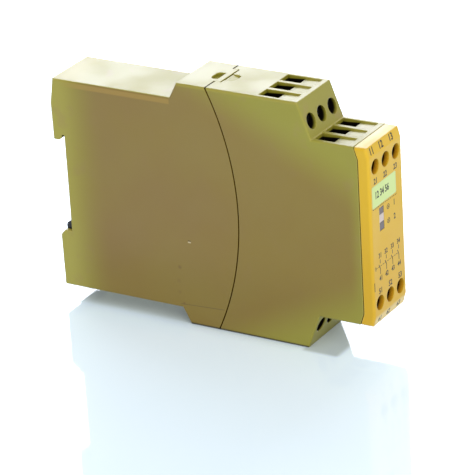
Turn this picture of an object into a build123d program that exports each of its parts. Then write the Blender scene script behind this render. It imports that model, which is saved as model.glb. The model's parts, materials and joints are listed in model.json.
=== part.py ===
"""Rail-mounted safety relay, 22.5 mm wide, built as it would come apart on a bench.

X runs across the rail, Y from the yellow front to the rail at the back, and Z up. The origin is the
centre of the flat underside, and every length is in millimetres.
"""

import os
from math import cos, pi, sin
from build123d import *

os.makedirs("parts", exist_ok=True)

# Overall envelope
WIDTH = 22.5
DEPTH = 121.0
HEIGHT = 87.0

# Moulded walls and running gaps
WALL = 1.6
SIDE_WALL = 1.5
EDGE_ROUND = 0.6
SEAM_GAP = 0.26
SLIDE_GAP = 0.1
FIT_GAP = 0.15

# Side outline of the housing
TIER_DROP = 12.17
TIER_LENGTH = 20.83
RISER_LEAN = 4.61
SEAM_FROM_FRONT = 59.65
SEAM_BULGE = 10.0
STEP_FROM_SEAM = 11.03
STEP_LEAN = 2.95
STEP_DROP = 5.58
BACK_LEAN = 1.46
APEX_DROP = 14.7
HOOK_DRAFT = 0.2

# Recess for the 35 mm rail, with its hook above and ledge below
RAIL_HEIGHT = 35.0
RAIL_FLANGE = 1.0
RAIL_PLAY = 0.2
RAIL_ABOVE_MIDDLE = 0.3
RECESS_DEPTH = 4.77
HOOK_OVERLAP = 1.9
HOOK_SLOPE = 0.92
LEDGE_DEPTH = 2.77
LEDGE_CHAMFER = 2.2

# Lap joint and snap tongue between the two shells
LIP_THICK = 0.9
LIP_REACH = 2.5
LIP_ROOT = 3.0
TONGUE_X = (-4.6, 7.2)
TONGUE_REACH = 2.2
TONGUE_THICK = 1.3
POCKET_WIDTH = 5.8
POCKET_FRONT = 6.15
POCKET_BACK = 2.9
POCKET_CORNER = 1.5
POCKET_DEPTH = 1.1
POCKET_RAMP = (0.1, 0.75)

# Front cover
COVER_DEPTH = 5.3
SKIRT_DEPTH = 3.9
SKIRT_SLANT = 4.2
COVER_WALL = 1.6
COVER_ROUND = 1.0
BEVEL_IN = 1.0
BEVEL_DROP = 3.5
COLLAR_WALL = 0.8
COLLAR_DEPTH = 2.4
COVER_PLAY = 0.2
TAB_THICK = 0.85
TAB_WIDTH = 6.0
TAB_REACH = 3.4
TAB_SPREAD = 24.0
CATCH_HEIGHT = 0.4
CATCH_LENGTH = 0.8

# Equipment label and signal window
LABEL_MARGINS = (1.35, 4.85)
LABEL_DROP = 13.83
LABEL_HEIGHT = 7.6
LABEL_THICK = 0.1
WINDOW_MARGIN = 5.85
WINDOW_WIDTH = 3.0
WINDOW_DROP = 22.63
LENS_HEIGHTS = (2.4, 2.8, 2.8)
LENS_LENGTH = 3.2
LENS_FLANGE = 0.5
LED_DEPTH = 3.9

# Terminals: three poles in each of four banks
POLES = 3
WELL_WALL = 1.5
WELL_LENGTH = 12.9
WELL_DEPTHS = (0.45, 0.9)
WELL_FLOOR = 1.5
ENTRY_LENGTH = 6.7
SCREW_DROP = 7.4
ACCESS_R = 2.6
UPPER_SETBACK = 2.46
FRONT_SETBACK = 5.2
CHAMBER_FLOOR = 1.2
CHAMBER_BACK = 1.2

# Terminal screw
HEAD_R = 2.4
HEAD_HEIGHT = 2.0
SHANK_R = 1.5
SHANK_GAP = 0.05
DRIVE_WIDTH = 0.8
DRIVE_DEPTH = 1.1
CROSS_LENGTH = 3.4
SEAT_RIB = 0.95
NECK_GAP = 0.15
SCREW_PLAY = 0.05

# Clamping cage and its contact bar
CLAMP_TRAVEL = 2.5
CAGE_HEIGHT = 5.6
CAGE_FRONT = 2.2
CAGE_BACK = 1.2
CAGE_SIDE = 0.6
CAGE_STOP = 0.2
CAGE_END_ROOM = 1.2
WIRE_ROOM = 3.2
BAR_THICK = 1.0
BAR_FRONT_GAP = 0.7
BAR_TOP_MARGIN = 0.3
TAIL_THICK = 0.8
TAIL_WIDTH = 1.6
TAIL_PROUD = 1.0

# Circuit boards
BOARD_THICK = 1.6
BOARD_MARGIN = 1.0
PIN_PROUD = 1.0
PIN_ROOM = 0.55
TERMINAL_BOARD_GAP = 2.0
TERMINAL_BOARD_DROP = 5.5
TERMINAL_BOARD_REACH = 15.33
BOARD_TONGUE_GAP = 2.5
BOARD_TONGUE_SETBACK = 7.5
GUIDE_THICK = 0.8
GUIDE_DEPTH = 1.1
GUIDE_BITE = 1.2
GUIDE_START = 2.8

# Force-guided relays on the main board
RELAY_WIDTH = 24.0
RELAY_HEADROOM = 1.75
RELAY_BASE_HEIGHT = 3.0
RELAY_BASE_LEDGE = 0.5
RELAY_CLEARANCE = 0.8
RELAY_APART = 6.0
RELAY_ROUND = 0.8
PIN_SIDE = 0.8
PIN_GAP = 0.1
RELAY_PIN_ROWS = 5
RELAY_PIN_COLUMNS = 2
RELAY_PIN_MARGINS = (6.0, 4.5)

# Other parts on the main board
REAR_PARTS_ROOM = 23.7
CAPACITOR_R = 5.0
CAPACITOR_LENGTH = 16.0
CAPACITOR_GROOVE = 0.4
CAPACITOR_FROM = (15.1, 14.5)
RECTIFIER_SIZE = (8.0, 8.0, 4.2)
RECTIFIER_FROM = (15.1, -2.5)
VARISTOR_R = 4.5
VARISTOR_THICK = 3.6
VARISTOR_FROM = (17.1, -15.5)
FUSE_SIZE = (8.5, 4.0, 7.6)
FUSE_FROM = (8.1, -25.5)
CHIP_SIZE = (6.4, 9.8, 3.4)
CHIP_SETBACK = 3.5
CHIP_APART = 1.6
LEAD_R = 0.3
RESISTOR_R = 1.25
RESISTOR_LENGTH = 6.6
RESISTOR_SPAN = 10.2
RESISTOR_PITCH = 3.8
RESISTOR_SETBACK = 8.6
RESISTOR_COUNT = 4
HEADER_WIDTH = 2.5
HEADER_DEPTH = 4.0
HEADER_LENGTH = 10.0
HEADER_MARGIN = 4.0

# Rail latch and its spring, in the foot
LATCH_THICK = 1.9
LATCH_BACK = 1.55
LATCH_NOSE = 2.7
LATCH_NOSE_ROUND = 1.6
LATCH_SIDE_GAP = 0.35
LATCH_TAIL_WIDTH = 10.0
LATCH_SHOULDER = 3.4
LATCH_PROUD = 2.0
LATCH_HOLE = (4.6, 1.1)
LUG_WIDTH = 4.0
LUG_HEIGHT = 1.4
LUG_RISE = 4.02
LUG_GAP = 0.3
SPRING_R = 1.2
SPRING_WIRE_R = 0.2
SPRING_HEIGHT = 7.0
SPRING_TURNS = 6
SPRING_SEAT = 0.05
SPRING_ROOM = 0.4

# Places that follow from the sizes above
SIDE = WIDTH / 2
FRONT_Y = -DEPTH / 2
REAR_Y = DEPTH / 2
MID_Z = HEIGHT / 2
INNER_X = SIDE - SIDE_WALL
SEAM_Y = FRONT_Y + SEAM_FROM_FRONT
STEP_Y = SEAM_Y + STEP_FROM_SEAM
FOOT_Z = STEP_DROP
TIER_Z = HEIGHT - TIER_DROP
RISER_FOOT_Y = FRONT_Y + TIER_LENGTH
RISER_TOP_Y = RISER_FOOT_Y + RISER_LEAN
COVER_SEAM_Y = FRONT_Y + COVER_DEPTH
SKIRT_Y = FRONT_Y + SKIRT_DEPTH
RECESS_Y = REAR_Y - RECESS_DEPTH
LEDGE_Z = MID_Z + RAIL_ABOVE_MIDDLE - (RAIL_HEIGHT + RAIL_PLAY) / 2
RAIL_TOP_Z = LEDGE_Z + RAIL_HEIGHT + RAIL_PLAY
HOOK_Z = RAIL_TOP_Z - HOOK_OVERLAP
GROOVE_Y = RECESS_Y + RAIL_FLANGE + RAIL_PLAY

# Terminal sizes along the screw, counted from the face of its head
SEAT_START = HEAD_HEIGHT + SCREW_PLAY
CHAMBER_START = SEAT_START + SEAT_RIB
CAGE_START = CHAMBER_START + CAGE_STOP + CLAMP_TRAVEL
BAR_START = CAGE_START + CAGE_FRONT + BAR_FRONT_GAP
CAGE_LENGTH = CAGE_FRONT + BAR_FRONT_GAP + BAR_THICK + WIRE_ROOM + CAGE_BACK
CHAMBER_END = CAGE_START + CAGE_LENGTH + CAGE_END_ROOM
ENTRY_START = CHAMBER_END - ENTRY_LENGTH
WELL_START = CHAMBER_END - WELL_LENGTH
BLOCK_END = CHAMBER_END + CHAMBER_BACK
WELL_WIDTH = (2 * INNER_X - (POLES - 1) * WELL_WALL) / POLES
POLE_PITCH = WELL_WIDTH + WELL_WALL
CAGE_WIDTH = WELL_WIDTH - 2 * SLIDE_GAP
BAR_WIDTH = CAGE_WIDTH - 2 * CAGE_SIDE - 2 * SLIDE_GAP
CHAMBER_HALF = CAGE_HEIGHT / 2 + SLIDE_GAP
BLOCK_DEPTH = SCREW_DROP + CHAMBER_HALF + CHAMBER_FLOOR
TAIL_DROP = CHAMBER_HALF + CHAMBER_FLOOR + SLIDE_GAP

# Each bank has the Y of its screw heads, its outer face, and +1 above or -1 below the middle
RISER_FACE_Y = RISER_TOP_Y - RISER_LEAN * SCREW_DROP / TIER_DROP
UPPER_HEAD_Y = RISER_FACE_Y + UPPER_SETBACK
FRONT_HEAD_Y = FRONT_Y + FRONT_SETBACK
BANKS = (
    ("top_rear", UPPER_HEAD_Y, HEIGHT, 1),
    ("top_front", FRONT_HEAD_Y, TIER_Z, 1),
    ("bottom_front", FRONT_HEAD_Y, TIER_DROP, -1),
    ("bottom_rear", UPPER_HEAD_Y, 0.0, -1),
)
GUIDE_FRONT_Y = FRONT_Y + COLLAR_DEPTH + COVER_PLAY

# Boards and what they carry
MAIN_BOARD_X = PIN_PROUD + PIN_ROOM - INNER_X
BOARD_FACE_X = MAIN_BOARD_X + BOARD_THICK
CEILING_Z = HEIGHT - STEP_DROP - WALL
BOARD_TOP_Z = CEILING_Z - BOARD_MARGIN
BOARD_BOTTOM_Z = HEIGHT - BOARD_TOP_Z
BOARD_REAR_Y = RECESS_Y - WALL - BOARD_MARGIN
TERMINAL_BOARD_Y = UPPER_HEAD_Y + BLOCK_END + TERMINAL_BOARD_GAP
TERMINAL_BOARD_LOW = TIER_Z - TERMINAL_BOARD_REACH
TERMINAL_BOARD_HEIGHT = HEIGHT - TERMINAL_BOARD_DROP - TERMINAL_BOARD_LOW
MAIN_FRONT_Y = TERMINAL_BOARD_Y + BOARD_THICK + TAIL_PROUD + SLIDE_GAP
BOARD_TONGUE_Y = FRONT_Y + BOARD_TONGUE_SETBACK
BOARD_TONGUE_HEIGHT = 2 * (TERMINAL_BOARD_LOW - MID_Z - BOARD_TONGUE_GAP)
HEADER_Z = TERMINAL_BOARD_LOW + HEADER_MARGIN + HEADER_LENGTH / 2
RELAY_FRONT_Y = TERMINAL_BOARD_Y + BOARD_THICK + HEADER_DEPTH + RELAY_CLEARANCE
RELAY_LENGTH = BOARD_REAR_Y - REAR_PARTS_ROOM - RELAY_FRONT_Y
RELAY_HEIGHT = INNER_X - BOARD_FACE_X - RELAY_HEADROOM
RELAY_CENTRE_Y = RELAY_FRONT_Y + RELAY_LENGTH / 2
RELAY_SPREAD = RELAY_WIDTH + RELAY_APART
RELAY_PIN_PITCH = (
    (RELAY_LENGTH - 2 * RELAY_PIN_MARGINS[0]) / (RELAY_PIN_ROWS - 1),
    (RELAY_WIDTH - 2 * RELAY_PIN_MARGINS[1]) / (RELAY_PIN_COLUMNS - 1),
)
RESISTOR_Y = TERMINAL_BOARD_Y - RESISTOR_SETBACK

# Label and signal window on the cover
LABEL_X = (LABEL_MARGINS[0] - SIDE, SIDE - LABEL_MARGINS[1])
LABEL_Z = (TIER_Z - LABEL_DROP - LABEL_HEIGHT, TIER_Z - LABEL_DROP)
WINDOW_X = (WINDOW_MARGIN - SIDE, WINDOW_MARGIN - SIDE + WINDOW_WIDTH)
WINDOW_TOP = TIER_Z - WINDOW_DROP

# Latch, its lug and spring, and the cover's snap tabs
LATCH_Y = GROOVE_Y
POCKET_REAR_Y = REAR_Y - LATCH_BACK
LATCH_REAR_Y = LATCH_Y + LATCH_THICK
LUG_Z = FOOT_Z + LUG_RISE
LUG_TOP_Z = LUG_Z + LUG_HEIGHT
SPRING_Y = (LATCH_Y + LATCH_REAR_Y) / 2 - SPRING_ROOM
CATCH_Y = SKIRT_Y + TAB_REACH - CATCH_LENGTH
TAB_X = SIDE - COVER_WALL - FIT_GAP


def across(y):
    """The upright plane square to the depth at y, whose sketch reads X and Z and which faces the front."""
    return Plane.XZ.offset(-y)


def keep(piece, name):
    """Label a finished piece and write it."""
    piece.part.label = name
    export_step(piece.part, f"parts/{name}.step")


def axis_z(bank):
    """Height of a bank's screw axes."""
    _, _, face_z, way = bank
    return face_z - way * SCREW_DROP


def pole_xs():
    """Places of the poles across the width."""
    return [(i - (POLES - 1) / 2) * POLE_PITCH for i in range(POLES)]


def tongue_length(extra=0.0):
    """Length of the snap tongue across the width, with a gap at both ends."""
    return TONGUE_X[1] - TONGUE_X[0] + 2 * extra


def on_board(setback_and_rise):
    """A place on the main board, counted from its rear edge and from the middle of the height."""
    setback, rise = setback_and_rise
    return (BOARD_REAR_Y - setback, MID_Z + rise)


def round_outer_edges(builder, skip):
    """Round the long outer edges of a shell, apart from those that the skip test names."""
    flanks = builder.faces().filter_by(Axis.X).edges().filter_by(GeomType.LINE)
    chosen = [edge for edge in flanks if not skip(edge.center())]
    fillet(chosen, radius=EDGE_ROUND)


def cut_pocket(front_half):
    """Half of the pry pocket over the snap tongue, above and below: a ramp in front, flat behind."""
    middle_y = SEAM_Y + (POCKET_BACK - POCKET_FRONT) / 2
    edge_y = SEAM_Y - TONGUE_REACH if front_half else SEAM_Y
    shallow, deep = POCKET_RAMP if front_half else (POCKET_DEPTH, POCKET_DEPTH)
    slope = (deep - shallow) / (POCKET_FRONT - TONGUE_REACH)
    middle_depth = shallow + slope * (edge_y - middle_y)
    for face_z, way in ((HEIGHT, 1), (0.0, -1)):
        floor = Plane((0, middle_y, face_z - way * middle_depth), x_dir=(way, 0, 0), z_dir=(0, -slope, way))
        with BuildSketch(floor) as pocket:
            RectangleRounded(POCKET_WIDTH, POCKET_FRONT + POCKET_BACK, POCKET_CORNER)
            with Locations((0, edge_y - middle_y)):
                side = Align.MAX if front_half else Align.MIN
                Rectangle(WIDTH, DEPTH, align=(Align.CENTER, side), mode=Mode.INTERSECT)
        extrude(pocket.sketch, amount=2 * POCKET_DEPTH, mode=Mode.SUBTRACT)


# Rear shell: an open box with the rail recess, the hook, the foot and the board guides
with BuildPart() as rear_shell:
    seam_y = SEAM_Y + SEAM_GAP / 2
    with BuildSketch(Plane.YZ) as rear_outline:
        with BuildLine():
            ThreePointArc((seam_y, 0), (seam_y - SEAM_BULGE, MID_Z), (seam_y, HEIGHT))
            Polyline(
                (seam_y, HEIGHT),
                (STEP_Y, HEIGHT),
                (STEP_Y + STEP_LEAN, HEIGHT - STEP_DROP),
                (REAR_Y - BACK_LEAN, HEIGHT - STEP_DROP),
                (REAR_Y, HEIGHT - APEX_DROP),
                (REAR_Y - HOOK_DRAFT, HOOK_Z),
                (GROOVE_Y + HOOK_SLOPE, HOOK_Z),
                (GROOVE_Y, HOOK_Z + HOOK_SLOPE),
                (GROOVE_Y, RAIL_TOP_Z),
                (RECESS_Y, RAIL_TOP_Z),
                (RECESS_Y, LEDGE_Z),
                (RECESS_Y + LEDGE_DEPTH, LEDGE_Z),
                (REAR_Y, LEDGE_Z - LEDGE_CHAMFER),
                (REAR_Y - HOOK_DRAFT, FOOT_Z),
                (STEP_Y + STEP_LEAN, FOOT_Z),
                (STEP_Y, 0),
                (seam_y, 0),
            )
        make_face()
    extrude(amount=SIDE, both=True)
    round_outer_edges(
        rear_shell,
        lambda c: c.Y > RECESS_Y - EDGE_ROUND and LEDGE_Z - 2 * EDGE_ROUND < c.Z < RAIL_TOP_Z + EDGE_ROUND,
    )

    # The hollow follows the outline one wall inside it and is open along the seam
    with BuildSketch(Plane.YZ):
        add(rear_outline.sketch_local)
        offset(amount=-WALL, kind=Kind.INTERSECTION, mode=Mode.REPLACE)
        with Locations((seam_y - SEAM_BULGE - WALL, MID_Z)):
            Rectangle(
                SEAM_BULGE + STEP_FROM_SEAM / 2, HEIGHT - 2 * WALL, align=(Align.MIN, Align.CENTER)
            )
        with Locations((RECESS_Y - WALL, 0)):
            Rectangle(DEPTH, RAIL_TOP_Z, align=(Align.MIN, Align.MIN), mode=Mode.SUBTRACT)
    extrude(amount=INNER_X, both=True, mode=Mode.SUBTRACT)

    # Tongues that snap into the front shell, and the pockets over them
    for face_z, way in ((HEIGHT, 1), (0.0, -1)):
        with BuildSketch(Plane.XY.offset(face_z)):
            with Locations((sum(TONGUE_X) / 2, seam_y + WALL)):
                Rectangle(
                    tongue_length(), TONGUE_REACH + WALL, align=(Align.CENTER, Align.MAX)
                )
        extrude(amount=-way * TONGUE_THICK)
    cut_pocket(front_half=False)

    # Guide ribs for both edges of the main board
    for face_z, way in ((CEILING_Z, 1), (FOOT_Z + WALL, -1)):
        for rib_x in (MAIN_BOARD_X - SLIDE_GAP - GUIDE_THICK, BOARD_FACE_X + SLIDE_GAP):
            with BuildSketch(Plane.XY.offset(face_z + way * WALL / 2)):
                with Locations((rib_x, STEP_Y + STEP_LEAN + GUIDE_START)):
                    rib_length = BOARD_REAR_Y - STEP_Y - STEP_LEAN - GUIDE_START
                    Rectangle(GUIDE_THICK, rib_length, align=(Align.MIN, Align.MIN))
            extrude(amount=-way * (WALL / 2 + BOARD_MARGIN + GUIDE_DEPTH))

    # Slot for the rail latch through the foot, with the spring's recess and seat
    with BuildSketch(Plane.XY):
        with Locations((0, GROOVE_Y - SLIDE_GAP)):
            Rectangle(
                2 * INNER_X, POCKET_REAR_Y - GROOVE_Y + SLIDE_GAP, align=(Align.CENTER, Align.MIN)
            )
    extrude(amount=LEDGE_Z + LEDGE_CHAMFER, mode=Mode.SUBTRACT)
    spring_reach = SPRING_R + SPRING_WIRE_R + SPRING_ROOM / 2
    with BuildSketch(Plane.XY.offset(LUG_TOP_Z)):
        with Locations((0, SPRING_Y - spring_reach)):
            Rectangle(
                2 * spring_reach, LATCH_Y - SPRING_Y + spring_reach, align=(Align.CENTER, Align.MIN)
            )
    extrude(amount=SPRING_HEIGHT + SPRING_ROOM, mode=Mode.SUBTRACT)
    with BuildSketch(Plane.XY.offset(LUG_Z)):
        with Locations((0, LATCH_Y - WALL)):
            Rectangle(
                LUG_WIDTH,
                POCKET_REAR_Y - LATCH_Y + WALL + LATCH_BACK / 2,
                align=(Align.CENTER, Align.MIN),
            )
    extrude(amount=LUG_HEIGHT)
keep(rear_shell, "rear_shell")


# Front shell: the terminal housing, stepped in two tiers above and below
with BuildPart() as front_shell:
    seam_y = SEAM_Y - SEAM_GAP / 2
    cover_y = COVER_SEAM_Y + SEAM_GAP
    skirt_y = SKIRT_Y + SEAM_GAP
    with BuildSketch(Plane.YZ):
        with BuildLine():
            ThreePointArc((seam_y, 0), (seam_y - SEAM_BULGE, MID_Z), (seam_y, HEIGHT))
            Polyline(
                (seam_y, HEIGHT),
                (RISER_TOP_Y, HEIGHT),
                (RISER_FOOT_Y, TIER_Z),
                (cover_y, TIER_Z),
                (skirt_y, TIER_Z - SKIRT_SLANT),
                (skirt_y, TIER_DROP + SKIRT_SLANT),
                (cover_y, TIER_DROP),
                (RISER_FOOT_Y, TIER_DROP),
                (RISER_TOP_Y, 0),
                (seam_y, 0),
            )
        make_face()
    extrude(amount=SIDE, both=True)
    round_outer_edges(front_shell, lambda c: c.Y < COVER_SEAM_Y + 2 * SEAM_GAP)

    # Hollow middle, left solid round the terminal chambers
    upper_back_y = UPPER_HEAD_Y + BLOCK_END
    front_back_y = FRONT_HEAD_Y + BLOCK_END
    rear_room = (upper_back_y, MID_Z - WALL)
    riser_room = (RISER_FOOT_Y + WALL, MID_Z - BLOCK_DEPTH)
    tier_room = (front_back_y, TIER_Z - WALL - MID_Z)
    front_room = (SKIRT_Y, TIER_Z - BLOCK_DEPTH - MID_Z)
    rooms = (rear_room, riser_room, tier_room, front_room)
    with BuildSketch(Plane.YZ):
        for front_y, half_height in rooms:
            with Locations((front_y, MID_Z)):
                Rectangle(
                    SEAM_Y - front_y, 2 * half_height, align=(Align.MIN, Align.CENTER)
                )
    extrude(amount=INNER_X, both=True, mode=Mode.SUBTRACT)

    # Lip that laps inside the rear shell along the whole seam
    lip_steps = ((INNER_X, 0.0, seam_y), (INNER_X - SLIDE_GAP, SLIDE_GAP, seam_y + LIP_REACH))
    for offset_x, inset, back_y in lip_steps:
        low_z, high_z = WALL + inset, HEIGHT - WALL - inset
        with BuildSketch(Plane.YZ):
            with BuildLine():
                ThreePointArc((back_y, low_z), (back_y - SEAM_BULGE, MID_Z), (back_y, high_z))
                Line((back_y, high_z), (seam_y - LIP_ROOT, high_z))
                ThreePointArc(
                    (seam_y - LIP_ROOT, high_z),
                    (seam_y - LIP_ROOT - SEAM_BULGE, MID_Z),
                    (seam_y - LIP_ROOT, low_z),
                )
                Line((seam_y - LIP_ROOT, low_z), (back_y, low_z))
            make_face()
        extrude(amount=offset_x, both=True)
    with BuildSketch(Plane.YZ):
        with Locations((seam_y - SEAM_BULGE - 2 * LIP_ROOT, MID_Z)):
            Rectangle(
                SEAM_BULGE + 4 * LIP_ROOT,
                HEIGHT - 2 * (WALL + SLIDE_GAP + LIP_THICK),
                align=(Align.MIN, Align.CENTER),
            )
    extrude(amount=INNER_X - SLIDE_GAP - LIP_THICK, both=True, mode=Mode.SUBTRACT)

    # Notches and pockets for the snap tongues
    for face_z, way in ((HEIGHT, 1), (0.0, -1)):
        with BuildSketch(Plane.XY.offset(face_z)):
            with Locations((sum(TONGUE_X) / 2, seam_y + LIP_REACH + WALL)):
                Rectangle(
                    tongue_length(SLIDE_GAP),
                    TONGUE_REACH + SEAM_GAP + LIP_REACH + WALL,
                    align=(Align.CENTER, Align.MAX),
                )
        extrude(amount=-way * (TONGUE_THICK + SLIDE_GAP), mode=Mode.SUBTRACT)
    cut_pocket(front_half=True)

    # Screw guides that reach into the cover
    for face_z, way in ((TIER_Z, 1), (TIER_DROP, -1)):
        with BuildSketch(Plane.XY.offset(face_z - way * BLOCK_DEPTH)):
            with Locations((0, GUIDE_FRONT_Y)):
                Rectangle(
                    2 * (SIDE - COVER_WALL - FIT_GAP),
                    CHAMBER_START + FRONT_HEAD_Y - GUIDE_FRONT_Y,
                    align=(Align.CENTER, Align.MIN),
                )
        extrude(amount=way * (BLOCK_DEPTH - COVER_WALL - COVER_PLAY))

    # Wells, wire entries, chambers, bar slots and screw bores of the four banks
    for bank in BANKS:
        _, head_y, face_z, way = bank
        floor_z = axis_z(bank) - way * CHAMBER_HALF
        well_front_y, well_rear_y = head_y + WELL_START, head_y + CHAMBER_END
        for pole_x in pole_xs():
            with BuildSketch(Plane.YZ.offset(pole_x)):
                with BuildLine():
                    Polyline(
                        (well_front_y, face_z),
                        (well_front_y, face_z - way * WELL_DEPTHS[0]),
                        (well_rear_y, face_z - way * WELL_DEPTHS[1]),
                        (well_rear_y, face_z),
                        close=True,
                    )
                make_face()
            extrude(amount=WELL_WIDTH / 2, both=True, mode=Mode.SUBTRACT)
        with BuildSketch(Plane.XY.offset(floor_z)):
            with Locations((0, head_y + ENTRY_START + ENTRY_LENGTH / 2)):
                with GridLocations(POLE_PITCH, 0, POLES, 1):
                    Rectangle(WELL_WIDTH, ENTRY_LENGTH)
        extrude(amount=way * (SCREW_DROP + CHAMBER_HALF), mode=Mode.SUBTRACT)
        with BuildSketch(Plane.XY.offset(floor_z)):
            with Locations((0, head_y + (CHAMBER_START + CHAMBER_END) / 2)):
                with GridLocations(POLE_PITCH, 0, POLES, 1):
                    Rectangle(WELL_WIDTH, CHAMBER_END - CHAMBER_START)
        chamber_height = SCREW_DROP + CHAMBER_HALF - WELL_DEPTHS[1] - WELL_FLOOR
        extrude(amount=way * chamber_height, mode=Mode.SUBTRACT)
        with BuildSketch(Plane.XY.offset(floor_z)):
            with Locations((0, head_y + BAR_START + BAR_THICK / 2)):
                with GridLocations(POLE_PITCH, 0, POLES, 1):
                    Rectangle(BAR_WIDTH + 2 * SLIDE_GAP, BAR_THICK + 2 * SLIDE_GAP)
        extrude(amount=-way * CHAMBER_FLOOR, mode=Mode.SUBTRACT)
        with BuildSketch(across(head_y + SEAT_START)):
            with Locations((0, axis_z(bank))):
                with GridLocations(POLE_PITCH, 0, POLES, 1):
                    Circle(ACCESS_R)
        extrude(amount=TIER_LENGTH, mode=Mode.SUBTRACT)
        with BuildSketch(across(head_y + CHAMBER_START)):
            with Locations((0, axis_z(bank))):
                with GridLocations(POLE_PITCH, 0, POLES, 1):
                    Circle(SHANK_R + NECK_GAP)
        extrude(amount=SEAT_RIB, mode=Mode.SUBTRACT)

    # Grooves in the side walls for the terminal boards, and windows for the cover's catches
    for low_z in (TERMINAL_BOARD_LOW, HEIGHT - TERMINAL_BOARD_LOW - TERMINAL_BOARD_HEIGHT):
        for rib_y in (
            TERMINAL_BOARD_Y - SLIDE_GAP - GUIDE_THICK,
            TERMINAL_BOARD_Y + BOARD_THICK + SLIDE_GAP,
        ):
            for x_way in (1, -1):
                with BuildSketch(Plane.XY.offset(low_z)):
                    with Locations((x_way * (INNER_X + SIDE_WALL / 2), rib_y)):
                        Rectangle(
                            SIDE_WALL / 2 + GUIDE_BITE,
                            GUIDE_THICK,
                            align=(Align.MAX if x_way > 0 else Align.MIN, Align.MIN),
                        )
                extrude(amount=TERMINAL_BOARD_HEIGHT)
    with BuildSketch(Plane.YZ):
        with Locations((CATCH_Y + CATCH_LENGTH / 2, MID_Z)):
            with GridLocations(0, TAB_SPREAD, 1, 2):
                Rectangle(CATCH_LENGTH + 2 * FIT_GAP, TAB_WIDTH + 2 * FIT_GAP)
    extrude(amount=TAB_X + CATCH_HEIGHT + FIT_GAP, both=True, mode=Mode.SUBTRACT)
keep(front_shell, "front_shell")


# Front cover with its screw collars, signal window, label field and snap tabs
with BuildPart() as front_cover:
    with BuildSketch(Plane.YZ):
        with BuildLine():
            Polyline(
                (COVER_SEAM_Y, TIER_Z),
                (FRONT_Y + BEVEL_IN, TIER_Z),
                (FRONT_Y, TIER_Z - BEVEL_DROP),
                (FRONT_Y, TIER_DROP + BEVEL_DROP),
                (FRONT_Y + BEVEL_IN, TIER_DROP),
                (COVER_SEAM_Y, TIER_DROP),
                (SKIRT_Y, TIER_DROP + SKIRT_SLANT),
                (SKIRT_Y, TIER_Z - SKIRT_SLANT),
                close=True,
            )
        make_face()
    extrude(amount=SIDE, both=True)
    flanks = front_cover.faces().filter_by(Axis.X).edges()
    fillet([e for e in flanks if e.center().Y < SKIRT_Y - SEAM_GAP], radius=COVER_ROUND)
    with BuildSketch(Plane.YZ):
        with Locations((FRONT_Y + COVER_WALL, MID_Z)):
            Rectangle(
                COVER_DEPTH, TIER_Z - TIER_DROP - 2 * COVER_WALL, align=(Align.MIN, Align.CENTER)
            )
    extrude(amount=SIDE - COVER_WALL, both=True, mode=Mode.SUBTRACT)

    # Collars round the screw holes
    for face_z, way in ((TIER_Z, 1), (TIER_DROP, -1)):
        hole_z = face_z - way * SCREW_DROP
        with BuildSketch(across(FRONT_Y + COLLAR_DEPTH)):
            with Locations((0, hole_z)):
                with GridLocations(POLE_PITCH, 0, POLES, 1):
                    Circle(ACCESS_R + COLLAR_WALL)
        extrude(amount=COLLAR_DEPTH - COVER_WALL / 2)
        with BuildSketch(across(FRONT_Y + COLLAR_DEPTH)):
            with Locations((0, hole_z)):
                with GridLocations(POLE_PITCH, 0, POLES, 1):
                    Circle(ACCESS_R)
        extrude(amount=COLLAR_DEPTH, mode=Mode.SUBTRACT)

    # Window for the signal lenses and the shallow field of the equipment label
    window_height = sum(LENS_HEIGHTS) + 2 * SLIDE_GAP
    with BuildSketch(across(FRONT_Y + COVER_WALL)):
        with Locations((sum(WINDOW_X) / 2, WINDOW_TOP + SLIDE_GAP)):
            Rectangle(
                WINDOW_WIDTH + 2 * SLIDE_GAP,
                window_height,
                align=(Align.CENTER, Align.MAX),
            )
    extrude(amount=COVER_WALL, mode=Mode.SUBTRACT)
    with BuildSketch(across(FRONT_Y + LABEL_THICK)):
        with Locations((sum(LABEL_X) / 2, sum(LABEL_Z) / 2)):
            Rectangle(
                LABEL_X[1] - LABEL_X[0] + SLIDE_GAP,
                LABEL_HEIGHT + SLIDE_GAP,
            )
    extrude(amount=LABEL_THICK, mode=Mode.SUBTRACT)

    # Four snap tabs inside the front shell's side walls
    for x_way in (1, -1):
        x_side = Align.MAX if x_way > 0 else Align.MIN
        for z_way in (1, -1):
            tab_z = MID_Z + z_way * TAB_SPREAD / 2 - TAB_WIDTH / 2
            with BuildSketch(Plane.XY.offset(tab_z)):
                with Locations((x_way * TAB_X, FRONT_Y + COVER_WALL / 2)):
                    Rectangle(
                        TAB_THICK,
                        SKIRT_DEPTH + TAB_REACH - COVER_WALL / 2,
                        align=(x_side, Align.MIN),
                    )
                with Locations((x_way * (TAB_X - TAB_THICK), FRONT_Y + COVER_WALL / 2)):
                    Rectangle(
                        TAB_THICK + FIT_GAP + COVER_WALL / 2,
                        SKIRT_DEPTH - COVER_WALL / 2 - COVER_PLAY,
                        align=(Align.MIN if x_way > 0 else Align.MAX, Align.MIN),
                    )
                with BuildLine():
                    Polyline(
                        (x_way * TAB_X, CATCH_Y),
                        (x_way * (TAB_X + CATCH_HEIGHT), CATCH_Y),
                        (x_way * TAB_X, CATCH_Y + CATCH_LENGTH),
                        close=True,
                    )
                make_face()
            extrude(amount=TAB_WIDTH)
keep(front_cover, "front_cover")


# Equipment label, seated flush in its field
with BuildPart() as equipment_label:
    with BuildSketch(across(FRONT_Y + LABEL_THICK)):
        with Locations((sum(LABEL_X) / 2, sum(LABEL_Z) / 2)):
            RectangleRounded(LABEL_X[1] - LABEL_X[0], LABEL_HEIGHT, EDGE_ROUND)
    extrude(amount=LABEL_THICK)
keep(equipment_label, "equipment_label")


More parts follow.
